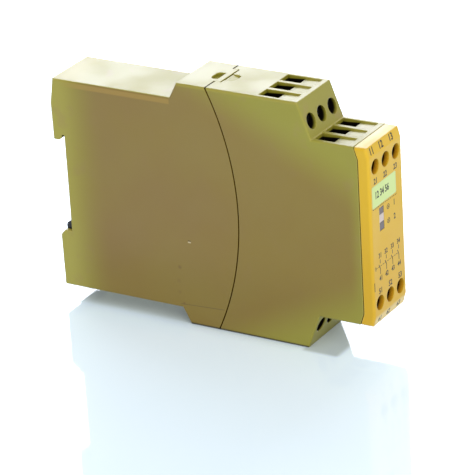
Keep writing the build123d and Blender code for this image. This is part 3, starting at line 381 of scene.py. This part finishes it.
class Shader:
    """A small helper that adds and joins nodes in one material or world."""

    def __init__(self, owner):
        owner.use_nodes = True
        self.owner = owner
        self.nodes = owner.node_tree.nodes
        self.links = owner.node_tree.links
        self.bsdf = self.nodes.get("Principled BSDF")

    def add(self, kind, inputs=None, **settings):
        node = self.nodes.new(kind)
        for name, value in settings.items():
            setattr(node, name, value)
        for name, value in (inputs or {}).items():
            self.put(node.inputs[name], value)
        return node

    def put(self, socket, value):
        if isinstance(value, bpy.types.NodeSocket):
            self.links.new(value, socket)
        else:
            socket.default_value = value

    def set(self, **values):
        for name, value in values.items():
            self.put(self.bsdf.inputs[name.replace("_", " ")], value)

    def place(self):
        """Place on the object, in metres in the frame."""
        return self.add("ShaderNodeTexCoord").outputs["Object"]

    def axes(self, vector):
        return self.add("ShaderNodeSeparateXYZ", {"Vector": vector}).outputs

    def noise(self, vector, scale, detail=3.0, rough=0.5, stretch=None):
        if stretch:
            vector = self.add("ShaderNodeMapping", {"Vector": vector, "Scale": stretch}).outputs[0]
        inputs = {"Vector": vector, "Scale": scale, "Detail": detail, "Roughness": rough}
        return self.add("ShaderNodeTexNoise", inputs).outputs["Fac"]

    def ramp(self, value, low, high, start=0.0, end=1.0):
        """Soft change from start to end as a value goes from low to high."""
        inputs = {"Value": value, "From Min": low, "From Max": high, "To Min": start, "To Max": end}
        return self.add("ShaderNodeMapRange", inputs, interpolation_type="SMOOTHSTEP").outputs[0]

    def ramp_mm(self, value, low, high, start=0.0, end=1.0):
        """The same for a coordinate in metres, with the limits in millimetres."""
        return self.ramp(value, low * MM, high * MM, start, end)

    def inwards(self, value, edge, inset):
        """Soft change from 0 to 1 between two distances below an upper limit in millimetres."""
        return self.ramp_mm(value, edge - inset[0], edge - inset[1])

    def behind(self, value, edge, depth):
        """Soft change from 0 to 1 between two distances past a lower limit in millimetres."""
        return self.ramp_mm(value, edge + depth[0], edge + depth[1])

    def math(self, operation, a, b=0.0):
        node = self.add("ShaderNodeMath", operation=operation)
        self.put(node.inputs[0], a)
        self.put(node.inputs[1], b)
        return node.outputs[0]

    def times(self, *factors):
        out = factors[0]
        for factor in factors[1:]:
            out = self.math("MULTIPLY", out, factor)
        return out

    def most(self, *values):
        out = values[0]
        for value in values[1:]:
            out = self.math("MAXIMUM", out, value)
        return out

    def minus_mm(self, value, centre):
        """A coordinate in metres, counted from a centre in millimetres."""
        return self.math("SUBTRACT", value, centre * MM)

    def away(self, value, centre):
        """How far a coordinate in metres lies from a centre in millimetres."""
        return self.math("ABSOLUTE", self.minus_mm(value, centre))

    def length(self, a, b):
        """Length of a line from its reach along two axes."""
        return self.math("SQRT", self.math("ADD", self.math("MULTIPLY", a, a), self.math("MULTIPLY", b, b)))

    def between(self, value, low, high, soft=0.1):
        """1 where a coordinate in metres lies between two limits in millimetres, 0 outside them."""
        half = (high - low) / 2
        return self.ramp_mm(self.away(value, (low + high) / 2), half, half + soft, 1.0, 0.0)

    def blend(self, factor, a, b):
        node = self.add("ShaderNodeMix", data_type="RGBA")
        self.put(node.inputs["Factor"], factor)
        self.put(node.inputs["A"], a)
        self.put(node.inputs["B"], b)
        return node.outputs["Result"]

    def near_edge(self, radius_mm=0.6, low=0.90, high=0.995):
        """1 along the outer edges of the moulding, 0 away from them."""
        rounded = self.add("ShaderNodeBevel", {"Radius": radius_mm * MM}, samples=6).outputs[0]
        flat = self.add("ShaderNodeNewGeometry").outputs["True Normal"]
        dot = self.add("ShaderNodeVectorMath", operation="DOT_PRODUCT")
        self.put(dot.inputs[0], rounded)
        self.put(dot.inputs[1], flat)
        return self.ramp(dot.outputs["Value"], low, high, 1.0, 0.0)

    def hollow(self, reach_mm, low, high):
        """1 deep inside holes and gaps, 0 on open faces."""
        node = self.add("ShaderNodeAmbientOcclusion", {"Distance": reach_mm * MM}, samples=12)
        return self.ramp(node.outputs["AO"], low, high, 1.0, 0.0)

    def bump(self, height, distance_mm, strength, normal=None):
        inputs = {"Height": height, "Distance": distance_mm * MM, "Strength": strength}
        if normal is not None:
            inputs["Normal"] = normal
        return self.add("ShaderNodeBump", inputs).outputs[0]

    def shown(self):
        """1 for what the camera, a reflection or a clear part shows, 0 for light that falls on things."""
        path = self.add("ShaderNodeLightPath").outputs
        return self.most(path["Is Glossy Ray"], path["Is Transmission Ray"], path["Is Camera Ray"])


def new_material(name):
    return Shader(bpy.data.materials.new(name))


def grained_plastic(name, colour, second, rough, grain_mm=GRAIN, edge_mm=SMALL_EDGE):
    """Moulded plastic: drifting tone, a fine spark-eroded grain and slightly softened edges."""
    s = new_material(name)
    where = s.place()
    drift = s.noise(where, DRIFT_SCALE, 2)
    base = s.blend(s.ramp(drift, 0.35, 0.65, 0.0, 0.5), colour, second)
    grain = s.noise(where, 1 / (grain_mm * MM), 2)
    smudge = s.noise(where, SMUDGE_SCALE, 4)
    edge = s.add("ShaderNodeBevel", {"Radius": edge_mm * MM}, samples=4).outputs[0]
    s.set(
        Base_Color=base,
        Roughness=s.ramp(smudge, 0.3, 0.7, rough - 0.05, rough + 0.07),
        Normal=s.bump(grain, GRAIN_DEPTH, 0.6, edge),
    )
    return s, where, base


def brown_flanks(s, where, base, y, z, flank):
    """Brown over most of the flanks, with painted shade towards the foot, olive towards the front corners
    and the rear edge.
    """
    brown = s.blend(s.ramp_mm(y, *BROWN_TURN_Y), BROWN_REAR, BROWN_FRONT)
    # Painted shade: the brown darkens towards the foot
    brown = s.blend(s.ramp_mm(z, *BROWN_TURN_Z, 0.0, 0.8), brown, BROWN_SHADED_LOW)
    (front_y, front_half), (rear_y, rear_half) = BROWN_FRONT_END, BROWN_REAR_END
    span = {"From Min": front_y * MM, "From Max": rear_y * MM}
    reach = {"Value": y, **span, "To Min": front_half * MM, "To Max": rear_half * MM}
    beyond = s.math("SUBTRACT", s.away(z, BROWN_MIDDLE_Z), s.add("ShaderNodeMapRange", reach).outputs[0])
    middle = s.ramp_mm(beyond, 0, BROWN_FADE, 1.0, 0.0)
    rear = s.inwards(y, REAR_Y, BROWN_FROM_REAR)
    front = s.behind(y, FRONT_Y, BROWN_FROM_FRONT)
    cloud = s.ramp(s.noise(where, CLOUD_SCALE, 3), 0.3, 0.7, 0.82, 1.0)
    return s.blend(s.times(middle, rear, front, flank, cloud), base, brown)


def scuffed(s, base, x, y, z):
    """A short pale scuff on the near flank with a dark scratch above it, and faint specks."""
    near = s.ramp_mm(x, 0.4 - SIDE_X, 0.1 - SIDE_X)
    along = s.between(y, SCUFF_Y - SCUFF_HALF_LENGTH, SCUFF_Y + SCUFF_HALF_LENGTH, 0.4)
    pale = s.between(z, SCUFF_Z - SCUFF_HALF_HEIGHT, SCUFF_Z + SCUFF_HALF_HEIGHT, 0.2)
    scratch_z = SCUFF_Z + SCRATCH_ABOVE
    dark = s.between(z, scratch_z - SCRATCH_HALF_HEIGHT, scratch_z + SCRATCH_HALF_HEIGHT, 0.2)
    base = s.blend(s.times(near, along, pale), base, SCUFF)
    base = s.blend(s.times(near, along, dark, 0.8), base, SCRATCH)
    for speck_y, speck_z, radius, strength in SPECKS:
        spread = s.length(s.away(y, speck_y), s.away(z, speck_z))
        speck = s.ramp_mm(spread, 0.3 * radius, 1.3 * radius, strength, 0.0)
        base = s.blend(s.times(near, speck), base, SPECK)
    return base


def seam_shade(s, x, y, z):
    """1 along the joint between the halves, apart from where the tongue covers it."""
    radius = (MID_Z**2 + SEAM_BULGE**2) / (2 * SEAM_BULGE)
    centre_y = SEAM_Y - SEAM_BULGE + radius
    spread = s.length(s.minus_mm(y, centre_y), s.minus_mm(z, MID_Z))
    line = s.ramp_mm(s.away(spread, radius), *SEAM_HALF_WIDTH, 1.0, 0.0)
    on_top = s.inwards(s.away(z, MID_Z), MID_Z, TONGUE_INSET)
    on_tongue = s.times(s.between(x, *TONGUE_X), on_top)
    return s.times(line, s.math("SUBTRACT", 1.0, on_tongue))


def low_flank_line(s, y, z):
    """1 along the faint line that runs from the rear step to the joint, low on the flanks."""
    (from_y, from_z), (to_y, to_z) = LOW_FLANK_LINE
    lean = (to_z - from_z) / (to_y - from_y)
    level = s.math("ADD", s.times(s.minus_mm(y, from_y), lean), from_z * MM)
    off = s.math("ABSOLUTE", s.math("SUBTRACT", z, level))
    return s.times(s.ramp_mm(off, *LOW_LINE_HALF_WIDTH, 1.0, 0.0), s.between(y, to_y, from_y))


def pit_shade(s, x, y, z):
    """1 well below the rims of the wire entries and inside the screw holes of the riser."""
    height = s.away(z, MID_Z)
    shades = []
    for low_y, high_y, face in WELLS:
        lit = s.ramp_mm(y, low_y, high_y, WELL_RIM[0] * MM, WELL_RIM[1] * MM)
        depth = s.math("SUBTRACT", s.math("SUBTRACT", (face - MID_Z) * MM, height), lit)
        shades.append(s.times(s.between(y, low_y, high_y), s.ramp_mm(depth, 0, WELL_RIM_FADE)))
    lean = (RISER_TOP[0] - RISER_FOOT[0]) / (RISER_TOP[1] - RISER_FOOT[1])
    rise = s.minus_mm(height, RISER_FOOT[1] - MID_Z)
    face_y = s.math("ADD", s.times(rise, lean), RISER_FOOT[0] * MM)
    full = s.ramp_mm(z, *HOLE_RIM_Z, HOLE_RIM[0] * MM, HOLE_RIM[1] * MM)
    in_hole = s.ramp(s.math("SUBTRACT", y, face_y), HOLE_RIM_START * MM, full)
    rows = s.times(s.between(height, *RISER_HOLES_RISE), s.between(y, *RISER_HOLES_Y))
    shades.append(s.times(in_hole, rows))
    return s.times(s.most(*shades), s.between(x, -INSIDE_X, INSIDE_X))


def housing_plastic():
    """Olive-beige plastic with brown flanks, painted light on its rounded edges, stains, dark joints and
    painted shade in its depths.
    """
    s, where, base = grained_plastic("housing_olive", OLIVE, OLIVE_DRIFT, HOUSING_ROUGH, edge_mm=SHELL_EDGE)
    x, y, z = s.axes(where)
    flank = s.inwards(s.math("ABSOLUTE", x), SIDE_X, FLANK_INSET)

    # Tones of the rear end, the stains and the brown flanks
    rear = s.inwards(y, REAR_Y, PALE_FROM_REAR)
    look = s.blend(s.times(rear, 0.8), base, PALE_REAR)
    look = s.blend(s.ramp(s.noise(where, STAIN_SCALE, 3), 0.56, 0.72, 0.0, 0.4), look, STAIN)
    look = brown_flanks(s, where, look, y, z, flank)

    # Painted light on the rounded upper edges of the flanks along the rear deck and the ridge, and painted
    # highlights on the outer edges
    deck = s.times(s.between(z, DECK_Z - 0.7, DECK_Z + 0.5, 0.5), s.ramp_mm(y, *DECK_FADE_Y))
    deck = s.times(deck, s.between(y, STEP_Y - 0.5, REAR_Y), flank)
    look = s.blend(s.times(deck, 0.5), look, DECK_EDGE_LIGHT)
    ridge = s.times(s.ramp_mm(z, *RIDGE_Z), s.between(y, RISER_TOP[0], STEP_Y), flank)
    look = s.blend(s.times(ridge, 0.6), look, RIDGE_EDGE_LIGHT)
    look = s.blend(s.times(s.near_edge(), 0.6), look, HOUSING_EDGE_HIGHLIGHT)

    # Marks on the flanks, and painted shade along the foot line
    look = scuffed(s, look, x, y, z)
    look = s.blend(s.times(low_flank_line(s, y, z), flank, 0.7), look, LOW_LINE_COLOUR)
    foot = s.times(s.ramp_mm(z, *FOOT_Z), flank)
    look = s.blend(s.times(foot, 0.9), look, FOOT_SHADE)

    # Painted shade in the depths, and the dark joint, which take the gloss away too
    deep = s.most(s.hollow(*HOUSING_HOLLOW), pit_shade(s, x, y, z))
    seam = seam_shade(s, x, y, z)
    on_top = s.inwards(s.away(z, MID_Z), MID_Z, SEAM_TOP_INSET)
    joint = s.blend(on_top, SEAM_ON_FLANK, SEAM_ON_TOP)
    shine = s.ramp_mm(y, *HOUSING_SHINE_Y, *HOUSING_SHINE)
    s.set(
        Base_Color=s.blend(s.times(seam, 0.9), s.blend(deep, look, HOUSING_PAINTED_SHADE), joint),
        Specular_IOR_Level=s.times(shine, s.math("SUBTRACT", 1.0, s.most(deep, seam))),
    )
    return s.owner


def cover_plastic():
    """Warm yellow plastic with painted shade towards its foot, painted highlights on its upper and lower
    rims and edges, paler on its lower strip, and painted shade in its screw holes.
    """
    s, where, base = grained_plastic("cover_yellow", YELLOW, YELLOW_DRIFT, COVER_ROUGH, edge_mm=SHELL_EDGE)
    x, y, z = s.axes(where)
    rise = s.away(z, MID_Z)
    # Painted shade darkens the yellow towards the foot; a painted highlight lightens the edges
    base = s.blend(s.ramp_mm(z, *YELLOW_TURN_Z, 0.0, 0.75), base, YELLOW_SHADED_LOW)
    look = s.blend(s.times(s.near_edge(), 0.4), base, COVER_EDGE_HIGHLIGHT)

    # Painted highlight on the rims above and below towards the joint, and the pale lower strip
    rim = s.times(s.behind(y, FRONT_Y, RIM_DEPTH), s.ramp_mm(rise, *COVER_RIM_RISE))
    look = s.blend(s.times(rim, 0.6), look, RIM_HIGHLIGHT)
    strip_top = COVER_BOTTOM + BEVEL_DROP
    strip = s.times(s.ramp_mm(z, strip_top, strip_top - STRIP_FADE), s.behind(y, FRONT_Y, STRIP_DEPTH))
    strip = s.times(strip, s.between(x, -STRIP_HALF_WIDTH, STRIP_HALF_WIDTH, 0.8))
    look = s.blend(s.times(strip, 0.45), look, PALE_STRIP)

    # Painted shade: orange on the walls of the screw holes, dark in their depths
    row = s.times(s.between(rise, *COVER_HOLES_RISE), s.between(x, -INSIDE_X, INSIDE_X))
    wall = s.times(row, s.behind(y, FRONT_Y, WALL_DEPTH))
    look = s.blend(s.times(wall, 0.6), look, ORANGE_HOLE_SHADE)
    hole = s.times(row, s.behind(y, FRONT_Y, HOLE_DEPTH))
    deep = s.most(s.hollow(*COVER_HOLLOW), hole)
    s.set(
        Base_Color=s.blend(deep, look, COVER_PAINTED_SHADE),
        Specular_IOR_Level=s.ramp(deep, 0.0, 1.0, COVER_SHINE, 0.0),
    )
    return s.owner


def label_film():
    """Printed film with a paler worn rim."""
    s, where, base = grained_plastic("label_paper", LABEL_GREEN, LABEL_DRIFT, LABEL_ROUGH, LABEL_GRAIN)
    x, _, z = s.axes(where)
    low, high = (Vector(corner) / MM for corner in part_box("equipment_label"))
    centre, half = (low + high) / 2, (high - low) / 2
    rim_x = s.ramp_mm(s.away(x, centre.x), half.x - LABEL_RIM_WIDTH[0], half.x)
    rim_z = s.ramp_mm(s.away(z, centre.z), half.z - LABEL_RIM_WIDTH[1], half.z)
    s.set(Base_Color=s.blend(s.times(s.most(rim_x, rim_z), 0.6), base, LABEL_RIM))
    return s.owner


def metal(name, colour, rough, stretch):
    """Drawn or turned metal with fine lines, and painted shade down in its recesses."""
    s = new_material(name)
    lines = s.noise(s.place(), DRAWN_SCALE, 3, 0.6, stretch)
    drawn = s.blend(s.ramp(lines, 0.3, 0.7, 0, 0.5), colour, METAL_LINE)
    s.set(
        Base_Color=s.blend(s.hollow(*METAL_HOLLOW), drawn, METAL_PAINTED_SHADE),
        Metallic=1.0,
        Roughness=s.ramp(lines, 0.3, 0.7, rough - 0.08, rough + 0.12),
        Normal=s.bump(lines, LINE_DEPTH, 0.5),
    )
    return s.owner


def clear_lens(name, colour, second):
    """Tinted window moulding with faint vertical prisms behind its face."""
    s = new_material(name)
    pattern = {"Vector": s.place(), "Scale": PRISM_SCALE, "Distortion": 0.4}
    prisms = s.add("ShaderNodeTexWave", pattern, bands_direction="X")
    tone = s.ramp(prisms.outputs["Fac"], 0.2, 0.9)
    s.set(
        Base_Color=s.blend(tone, colour, second),
        Roughness=LENS_ROUGH,
        Transmission_Weight=LENS_CLEAR,
        IOR=LENS_IOR,
    )
    return s.owner


def board_laminate():
    """Green board with a faint weave and paler tracks."""
    s = new_material("board_laminate")
    where = s.place()
    weave = s.add("ShaderNodeTexBrick", {"Vector": where, "Scale": WEAVE_SCALE}).outputs["Fac"]
    tracks = s.ramp(s.noise(where, TRACK_SCALE, 0, stretch=(1, 1, 4)), 0.5, 0.53)
    s.set(
        Base_Color=s.blend(tracks, BOARD_GREEN, BOARD_TRACK),
        Roughness=BOARD_ROUGH,
        Normal=s.bump(weave, LINE_DEPTH, 0.4),
    )
    return s.owner


def printing_ink():
    """Pad-printed dark grey ink, thin and a little broken."""
    s = new_material("printing_ink")
    worn = s.noise(s.place(), INK_SCALE, 3)
    s.set(
        Base_Color=s.blend(s.ramp(worn, 0.45, 0.7, 0, 0.55), INK, WORN_INK),
        Roughness=s.ramp(worn, 0.3, 0.7, 0.42, 0.6),
    )
    return s.owner


def finish_nodes():
    """Give every carried-over CAD node its material, and return the materials by slot."""
    looks = {
        "housing_olive": housing_plastic(),
        "cover_yellow": cover_plastic(),
        "label_paper": label_film(),
        "board_laminate": board_laminate(),
    }
    for name, values in MOULDINGS.items():
        looks[name] = grained_plastic(name, *values, FINE_GRAIN)[0].owner
    for name, values in LENSES.items():
        looks[name] = clear_lens(name, *values)
    for name, values in METALS.items():
        looks[name] = metal(name, *values)
    slots = {sub["node"]: sub["material_slot"] for sub in frame["record"]["subparts"]}
    for node, obj in frame["nodes"].items():
        obj.data.materials.clear()
        obj.data.materials.append(looks[slots[node]])
    return looks


def direction(azimuth, elevation):
    """Unit vector towards a place around the object, from angles in degrees."""
    a, e = math.radians(azimuth), math.radians(elevation)
    return Vector((math.sin(a) * math.cos(e), -math.cos(a) * math.cos(e), math.sin(e)))


def make_camera():
    """The photograph's camera."""
    roll = math.radians(VIEW_ROLL)
    back = direction(VIEW_AZIMUTH, VIEW_ELEVATION)
    right = (-back).cross(UP).normalized()
    up = right.cross(-back)
    turned_right = math.cos(roll) * right + math.sin(roll) * up
    turned_up = -math.sin(roll) * right + math.cos(roll) * up
    spot = back * VIEW_DISTANCE + turned_right * VIEW_SHIFT[0] + turned_up * VIEW_SHIFT[1]
    spot += Vector((0, 0, MID_Z))
    data = bpy.data.cameras.new("photo_camera")
    data.sensor_width = SENSOR_MM
    data.lens = VIEW_FOCAL_PX / PHOTO_WIDTH_PX * SENSOR_MM
    data.clip_start, data.clip_end = CLIP_METRES
    camera = bpy.data.objects.new("photo_camera", data)
    columns = Matrix((turned_right, turned_up, back)).transposed().to_4x4()
    columns.translation = spot * MM
    camera.matrix_world = columns
    bpy.context.scene.collection.objects.link(camera)
    bpy.context.scene.camera = camera


def mesh_object(name, vertices, faces, material):
    mesh = bpy.data.meshes.new(name)
    mesh.from_pydata(vertices, [], faces)
    mesh.materials.append(material)
    obj = bpy.data.objects.new(name, mesh)
    bpy.context.scene.collection.objects.link(obj)
    return obj


def make_spring(steel):
    """The latch's coil spring, drawn anew."""
    low, high = (Vector(corner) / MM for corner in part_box("latch_spring"))
    centre = (low + high) / 2
    radius = (high.x - low.x) / 2 - SPRING_WIRE
    rise = high.z - low.z - 2 * SPRING_WIRE
    steps = SPRING_TURNS * PARTS_PER_TURN
    around = SIDES_OF_WIRE
    vertices = []
    for i in range(steps + 1):
        turn = 2 * math.pi * i / PARTS_PER_TURN
        out = Vector((math.cos(turn), math.sin(turn), 0))
        spot = Vector((centre.x, centre.y, low.z + SPRING_WIRE + rise * i / steps)) + out * radius
        for k in range(around):
            a = 2 * math.pi * k / around
            vertices.append((spot + (out * math.cos(a) + UP * math.sin(a)) * SPRING_WIRE) * MM)
    faces = [list(range(around)), list(reversed(range(steps * around, (steps + 1) * around)))]
    for i in range(steps):
        for k in range(around):
            a = i * around + k
            b = i * around + (k + 1) % around
            faces.append([a, a + around, b + around, b])
    piece = mesh_object("release_spring", vertices, faces, steel)
    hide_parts("latch_spring")
    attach(piece, "housing")
    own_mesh(piece)


class Print:
    """Figures and thin lines laid on one plane of the cover, gathered into one mesh."""

    def __init__(self):
        self.vertices = []
        self.faces = []

    def lay(self, points, faces, origin, up=UP):
        """Add a flat shape, given in millimetres across and up, as a thin plate on the face."""
        up = up.normalized()
        out = ACROSS.cross(up)
        start = len(self.vertices)
        for level in (PRINT_PROUD, -PRINT_DEPTH):
            for across, rise in points:
                spot = origin + ACROSS * across + up * rise + out * level
                self.vertices.append(spot * MM)
        count = len(points)
        rims = {}
        for face in faces:
            self.faces.append([start + i for i in face])
            self.faces.append([start + count + i for i in reversed(face)])
            for a, b in zip(face, face[1:] + face[:1]):
                if (b, a) in rims:
                    del rims[(b, a)]
                else:
                    rims[(a, b)] = True
        for a, b in rims:
            self.faces.append([start + b, start + a, start + count + a, start + count + b])

    def figures(self, text, across, rise, height=FIGURE_HEIGHT, up=UP, on_y=FRONT_Y, squeeze=SQUEEZE):
        """A plain number, centred on a place of the face."""
        curve = bpy.data.curves.new("figures", "FONT")
        curve.body = text
        curve.resolution_u = 3
        curve.offset = BOLD
        holder = bpy.data.objects.new("figures", curve)
        bpy.context.scene.collection.objects.link(holder)
        graph = bpy.context.evaluated_depsgraph_get()
        flat = bpy.data.meshes.new_from_object(holder.evaluated_get(graph))
        xs = [v.co.x for v in flat.vertices]
        ys = [v.co.y for v in flat.vertices]
        scale = height / (max(ys) - min(ys))
        middle_x, middle_y = (max(xs) + min(xs)) / 2, (max(ys) + min(ys)) / 2
        points = [((x - middle_x) * scale * squeeze, (y - middle_y) * scale) for x, y in zip(xs, ys)]
        faces = [list(p.vertices) for p in flat.polygons]
        bpy.data.objects.remove(holder)
        bpy.data.curves.remove(curve)
        bpy.data.meshes.remove(flat)
        self.lay(points, faces, Vector((across, on_y, rise)), up)

    def line(self, start, end, width=LINE_WIDTH):
        a, b = Vector(start), Vector(end)
        side = (b - a).normalized().orthogonal() * width / 2
        self.lay([a + side, a - side, b - side, b + side], [[0, 1, 2, 3]], Vector((0, FRONT_Y, 0)))

    def dashes(self, start, end, dash, gap, width):
        a, b = Vector(start), Vector(end)
        whole = (b - a).length
        step = (b - a).normalized()
        run = 0.0
        while run < whole:
            self.line(a + step * run, a + step * min(run + dash, whole), width)
            run += dash + gap

    def lamp_sign(self, across, rise):
        """The general sign of a lamp: a ring with a cross in it."""
        for i in range(RING_PARTS):
            a, b = (2 * math.pi * k / RING_PARTS for k in (i, i + RING_OVERLAP))
            start = (across + LAMP_RADIUS * math.cos(a), rise + LAMP_RADIUS * math.sin(a))
            end = (across + LAMP_RADIUS * math.cos(b), rise + LAMP_RADIUS * math.sin(b))
            self.line(start, end, THIN_WIDTH)
        half = LAMP_RADIUS * math.sqrt(0.5)
        self.line((across - half, rise - half), (across + half, rise + half), THIN_WIDTH)
        self.line((across - half, rise + half), (across + half, rise - half), THIN_WIDTH)


def make_print(ink):
    """Plain counting numbers and a generic contact diagram where the real relay has its print."""
    sheet = Print()
    upper = Vector((0, BEVEL_IN, BEVEL_DROP))
    lower = Vector((0, -BEVEL_IN, BEVEL_DROP))

    # Numbers of the upper terminals
    for text, across in TOP_NUMBERS:
        sheet.figures(text, across, COVER_TOP - STRIP_MIDDLE, STRIP_FIGURES[0], upper, STRIP_Y)
    for text, across in UPPER_NUMBERS:
        sheet.figures(text, across, UPPER_Z)

    # Rule under the sticker and the lamp signs
    sheet.dashes(*LABEL_RULE, *RULE_DASH, RULE_WIDTH)
    for number, rise in LAMP_NUMBERS:
        sheet.lamp_sign(LAMP_SIGN_X, rise)
        sheet.figures(number, LAMP_NUMBER_X, rise)

    # Contact diagram
    for column, across in enumerate(CONTACTS_X, start=1):
        sheet.figures(f"3{column}", across, CONTACT_NUMBERS_Z[0], CONTACT_FIGURES)
        sheet.figures(f"4{column}", across, CONTACT_NUMBERS_Z[1], CONTACT_FIGURES)
        for start, end in (CONTACT_UPPER, CONTACT_LOWER):
            sheet.line((across, start), (across, end))
        sheet.line((across, CONTACT_LOWER[0]), (across + CONTACT_BLADE[0], CONTACT_BLADE[1]))
    sheet.dashes(*CONTACT_LINK, *LINK_DASH, THIN_WIDTH)
    sheet.line(*LINK_END)

    # Numbers of the lower terminals and the mark at the edge
    for text, across in LOWER_NUMBERS:
        sheet.figures(text, across, LOWER_Z)
    sheet.line(*EDGE_MARK, MARK_WIDTH)
    for text, across in BOTTOM_NUMBERS:
        sheet.figures(text, across, COVER_BOTTOM + STRIP_MIDDLE, STRIP_FIGURES[1], lower, STRIP_Y)

    # Number on the sticker
    low, high = (Vector(corner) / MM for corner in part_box("equipment_label"))
    middle_z = (low.z + high.z) / 2 + LABEL_TEXT_RISE
    sheet.figures(LABEL_TEXT, LABEL_TEXT_X, middle_z, LABEL_FIGURES, on_y=low.y, squeeze=LABEL_SQUEEZE)

    piece = mesh_object("cover_print", sheet.vertices, sheet.faces, ink)
    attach(piece, "housing")


def make_floor():
    """White gloss plate. To the camera and in reflections it glows a little, so that it turns white away
    from the object and keeps the object's shadow."""
    s = new_material("floor_gloss")
    where = s.place()
    smear = s.noise(where, SMEAR_SCALE, 3)
    clean = s.blend(s.ramp(smear, 0.3, 0.7), FLOOR_CLEAN, FLOOR_DRIFT)
    x, y, _ = s.axes(where)
    # Painted shadow: the floor darkens under and close to the object, and in a patch beside the riser's
    # foot
    by_foot = s.times(
        s.between(x, -SHADE_HALF_WIDTH, SHADE_HALF_WIDTH, SHADE_SOFT),
        s.between(y, RISER_FOOT[0] - SHADE_BEFORE_FOOT, RISER_TOP[0], SHADE_SOFT),
        0.85,
    )
    under = s.most(s.hollow(*FLOOR_HOLLOW), s.times(s.hollow(*FOOT_HOLLOW), 0.6), by_foot)
    s.set(
        Base_Color=s.blend(under, clean, FLOOR_SHADE),
        Roughness=s.ramp(smear, 0.3, 0.7, *FLOOR_ROUGH),
        IOR=FLOOR_IOR,
    )
    level = s.times(s.shown(), s.ramp(under, 0.0, 1.0, FLOOR_GLOW, SHADED_GLOW))
    glow = s.add("ShaderNodeEmission", {"Color": GLOW_COLOUR, "Strength": level})
    both = s.add("ShaderNodeAddShader")
    s.put(both.inputs[0], s.bsdf.outputs[0])
    s.put(both.inputs[1], glow.outputs[0])
    s.put(s.nodes["Material Output"].inputs["Surface"], both.outputs[0])
    signs = ((-1, -1), (1, -1), (1, 1), (-1, 1))
    corners = [(across * FLOOR_REACH, along * FLOOR_REACH, 0) for across, along in signs]
    mesh_object("floor", corners, [(0, 1, 2, 3)], s.owner)


def area_light(name, azimuth, elevation, distance, size, radiance, colour):
    """A soft lamp that looks at the object's middle, set by the brightness of its face."""
    data = bpy.data.lights.new(name, "AREA")
    data.shape = "RECTANGLE"
    data.size, data.size_y = size
    data.energy = radiance * math.pi * size[0] * size[1]
    data.color = colour
    obj = bpy.data.objects.new(name, data)
    towards = direction(azimuth, elevation)
    obj.location = Vector((0, 0, MID_Z * MM)) + towards * distance
    obj.rotation_euler = (-towards).to_track_quat("-Z", "Y").to_euler()
    bpy.context.scene.collection.objects.link(obj)


def make_light():
    """White studio: even surroundings, a bright sweep behind the object and a soft fill in front."""
    s = Shader(bpy.data.worlds.new("studio"))
    bpy.context.scene.world = s.owner
    lit = s.nodes["Background"]
    s.put(lit.inputs["Color"], WORLD_COLOUR)
    s.put(lit.inputs["Strength"], WORLD_LEVEL)
    white = s.add("ShaderNodeBackground", {"Color": WHITE, "Strength": 1.0})
    mix = s.add("ShaderNodeMixShader")
    s.put(mix.inputs[0], s.shown())
    s.put(mix.inputs[1], lit.outputs[0])
    s.put(mix.inputs[2], white.outputs[0])
    s.put(s.nodes["World Output"].inputs["Surface"], mix.outputs[0])
    for name, (turn, *rest) in LAMPS.items():
        area_light(name, VIEW_AZIMUTH + turn, *rest)


scene = bpy.context.scene
scene.view_settings.view_transform = "Standard"
make_camera()
make_floor()
make_light()
looks = finish_nodes()
make_spring(looks["spring_steel"])
make_print(printing_ink())
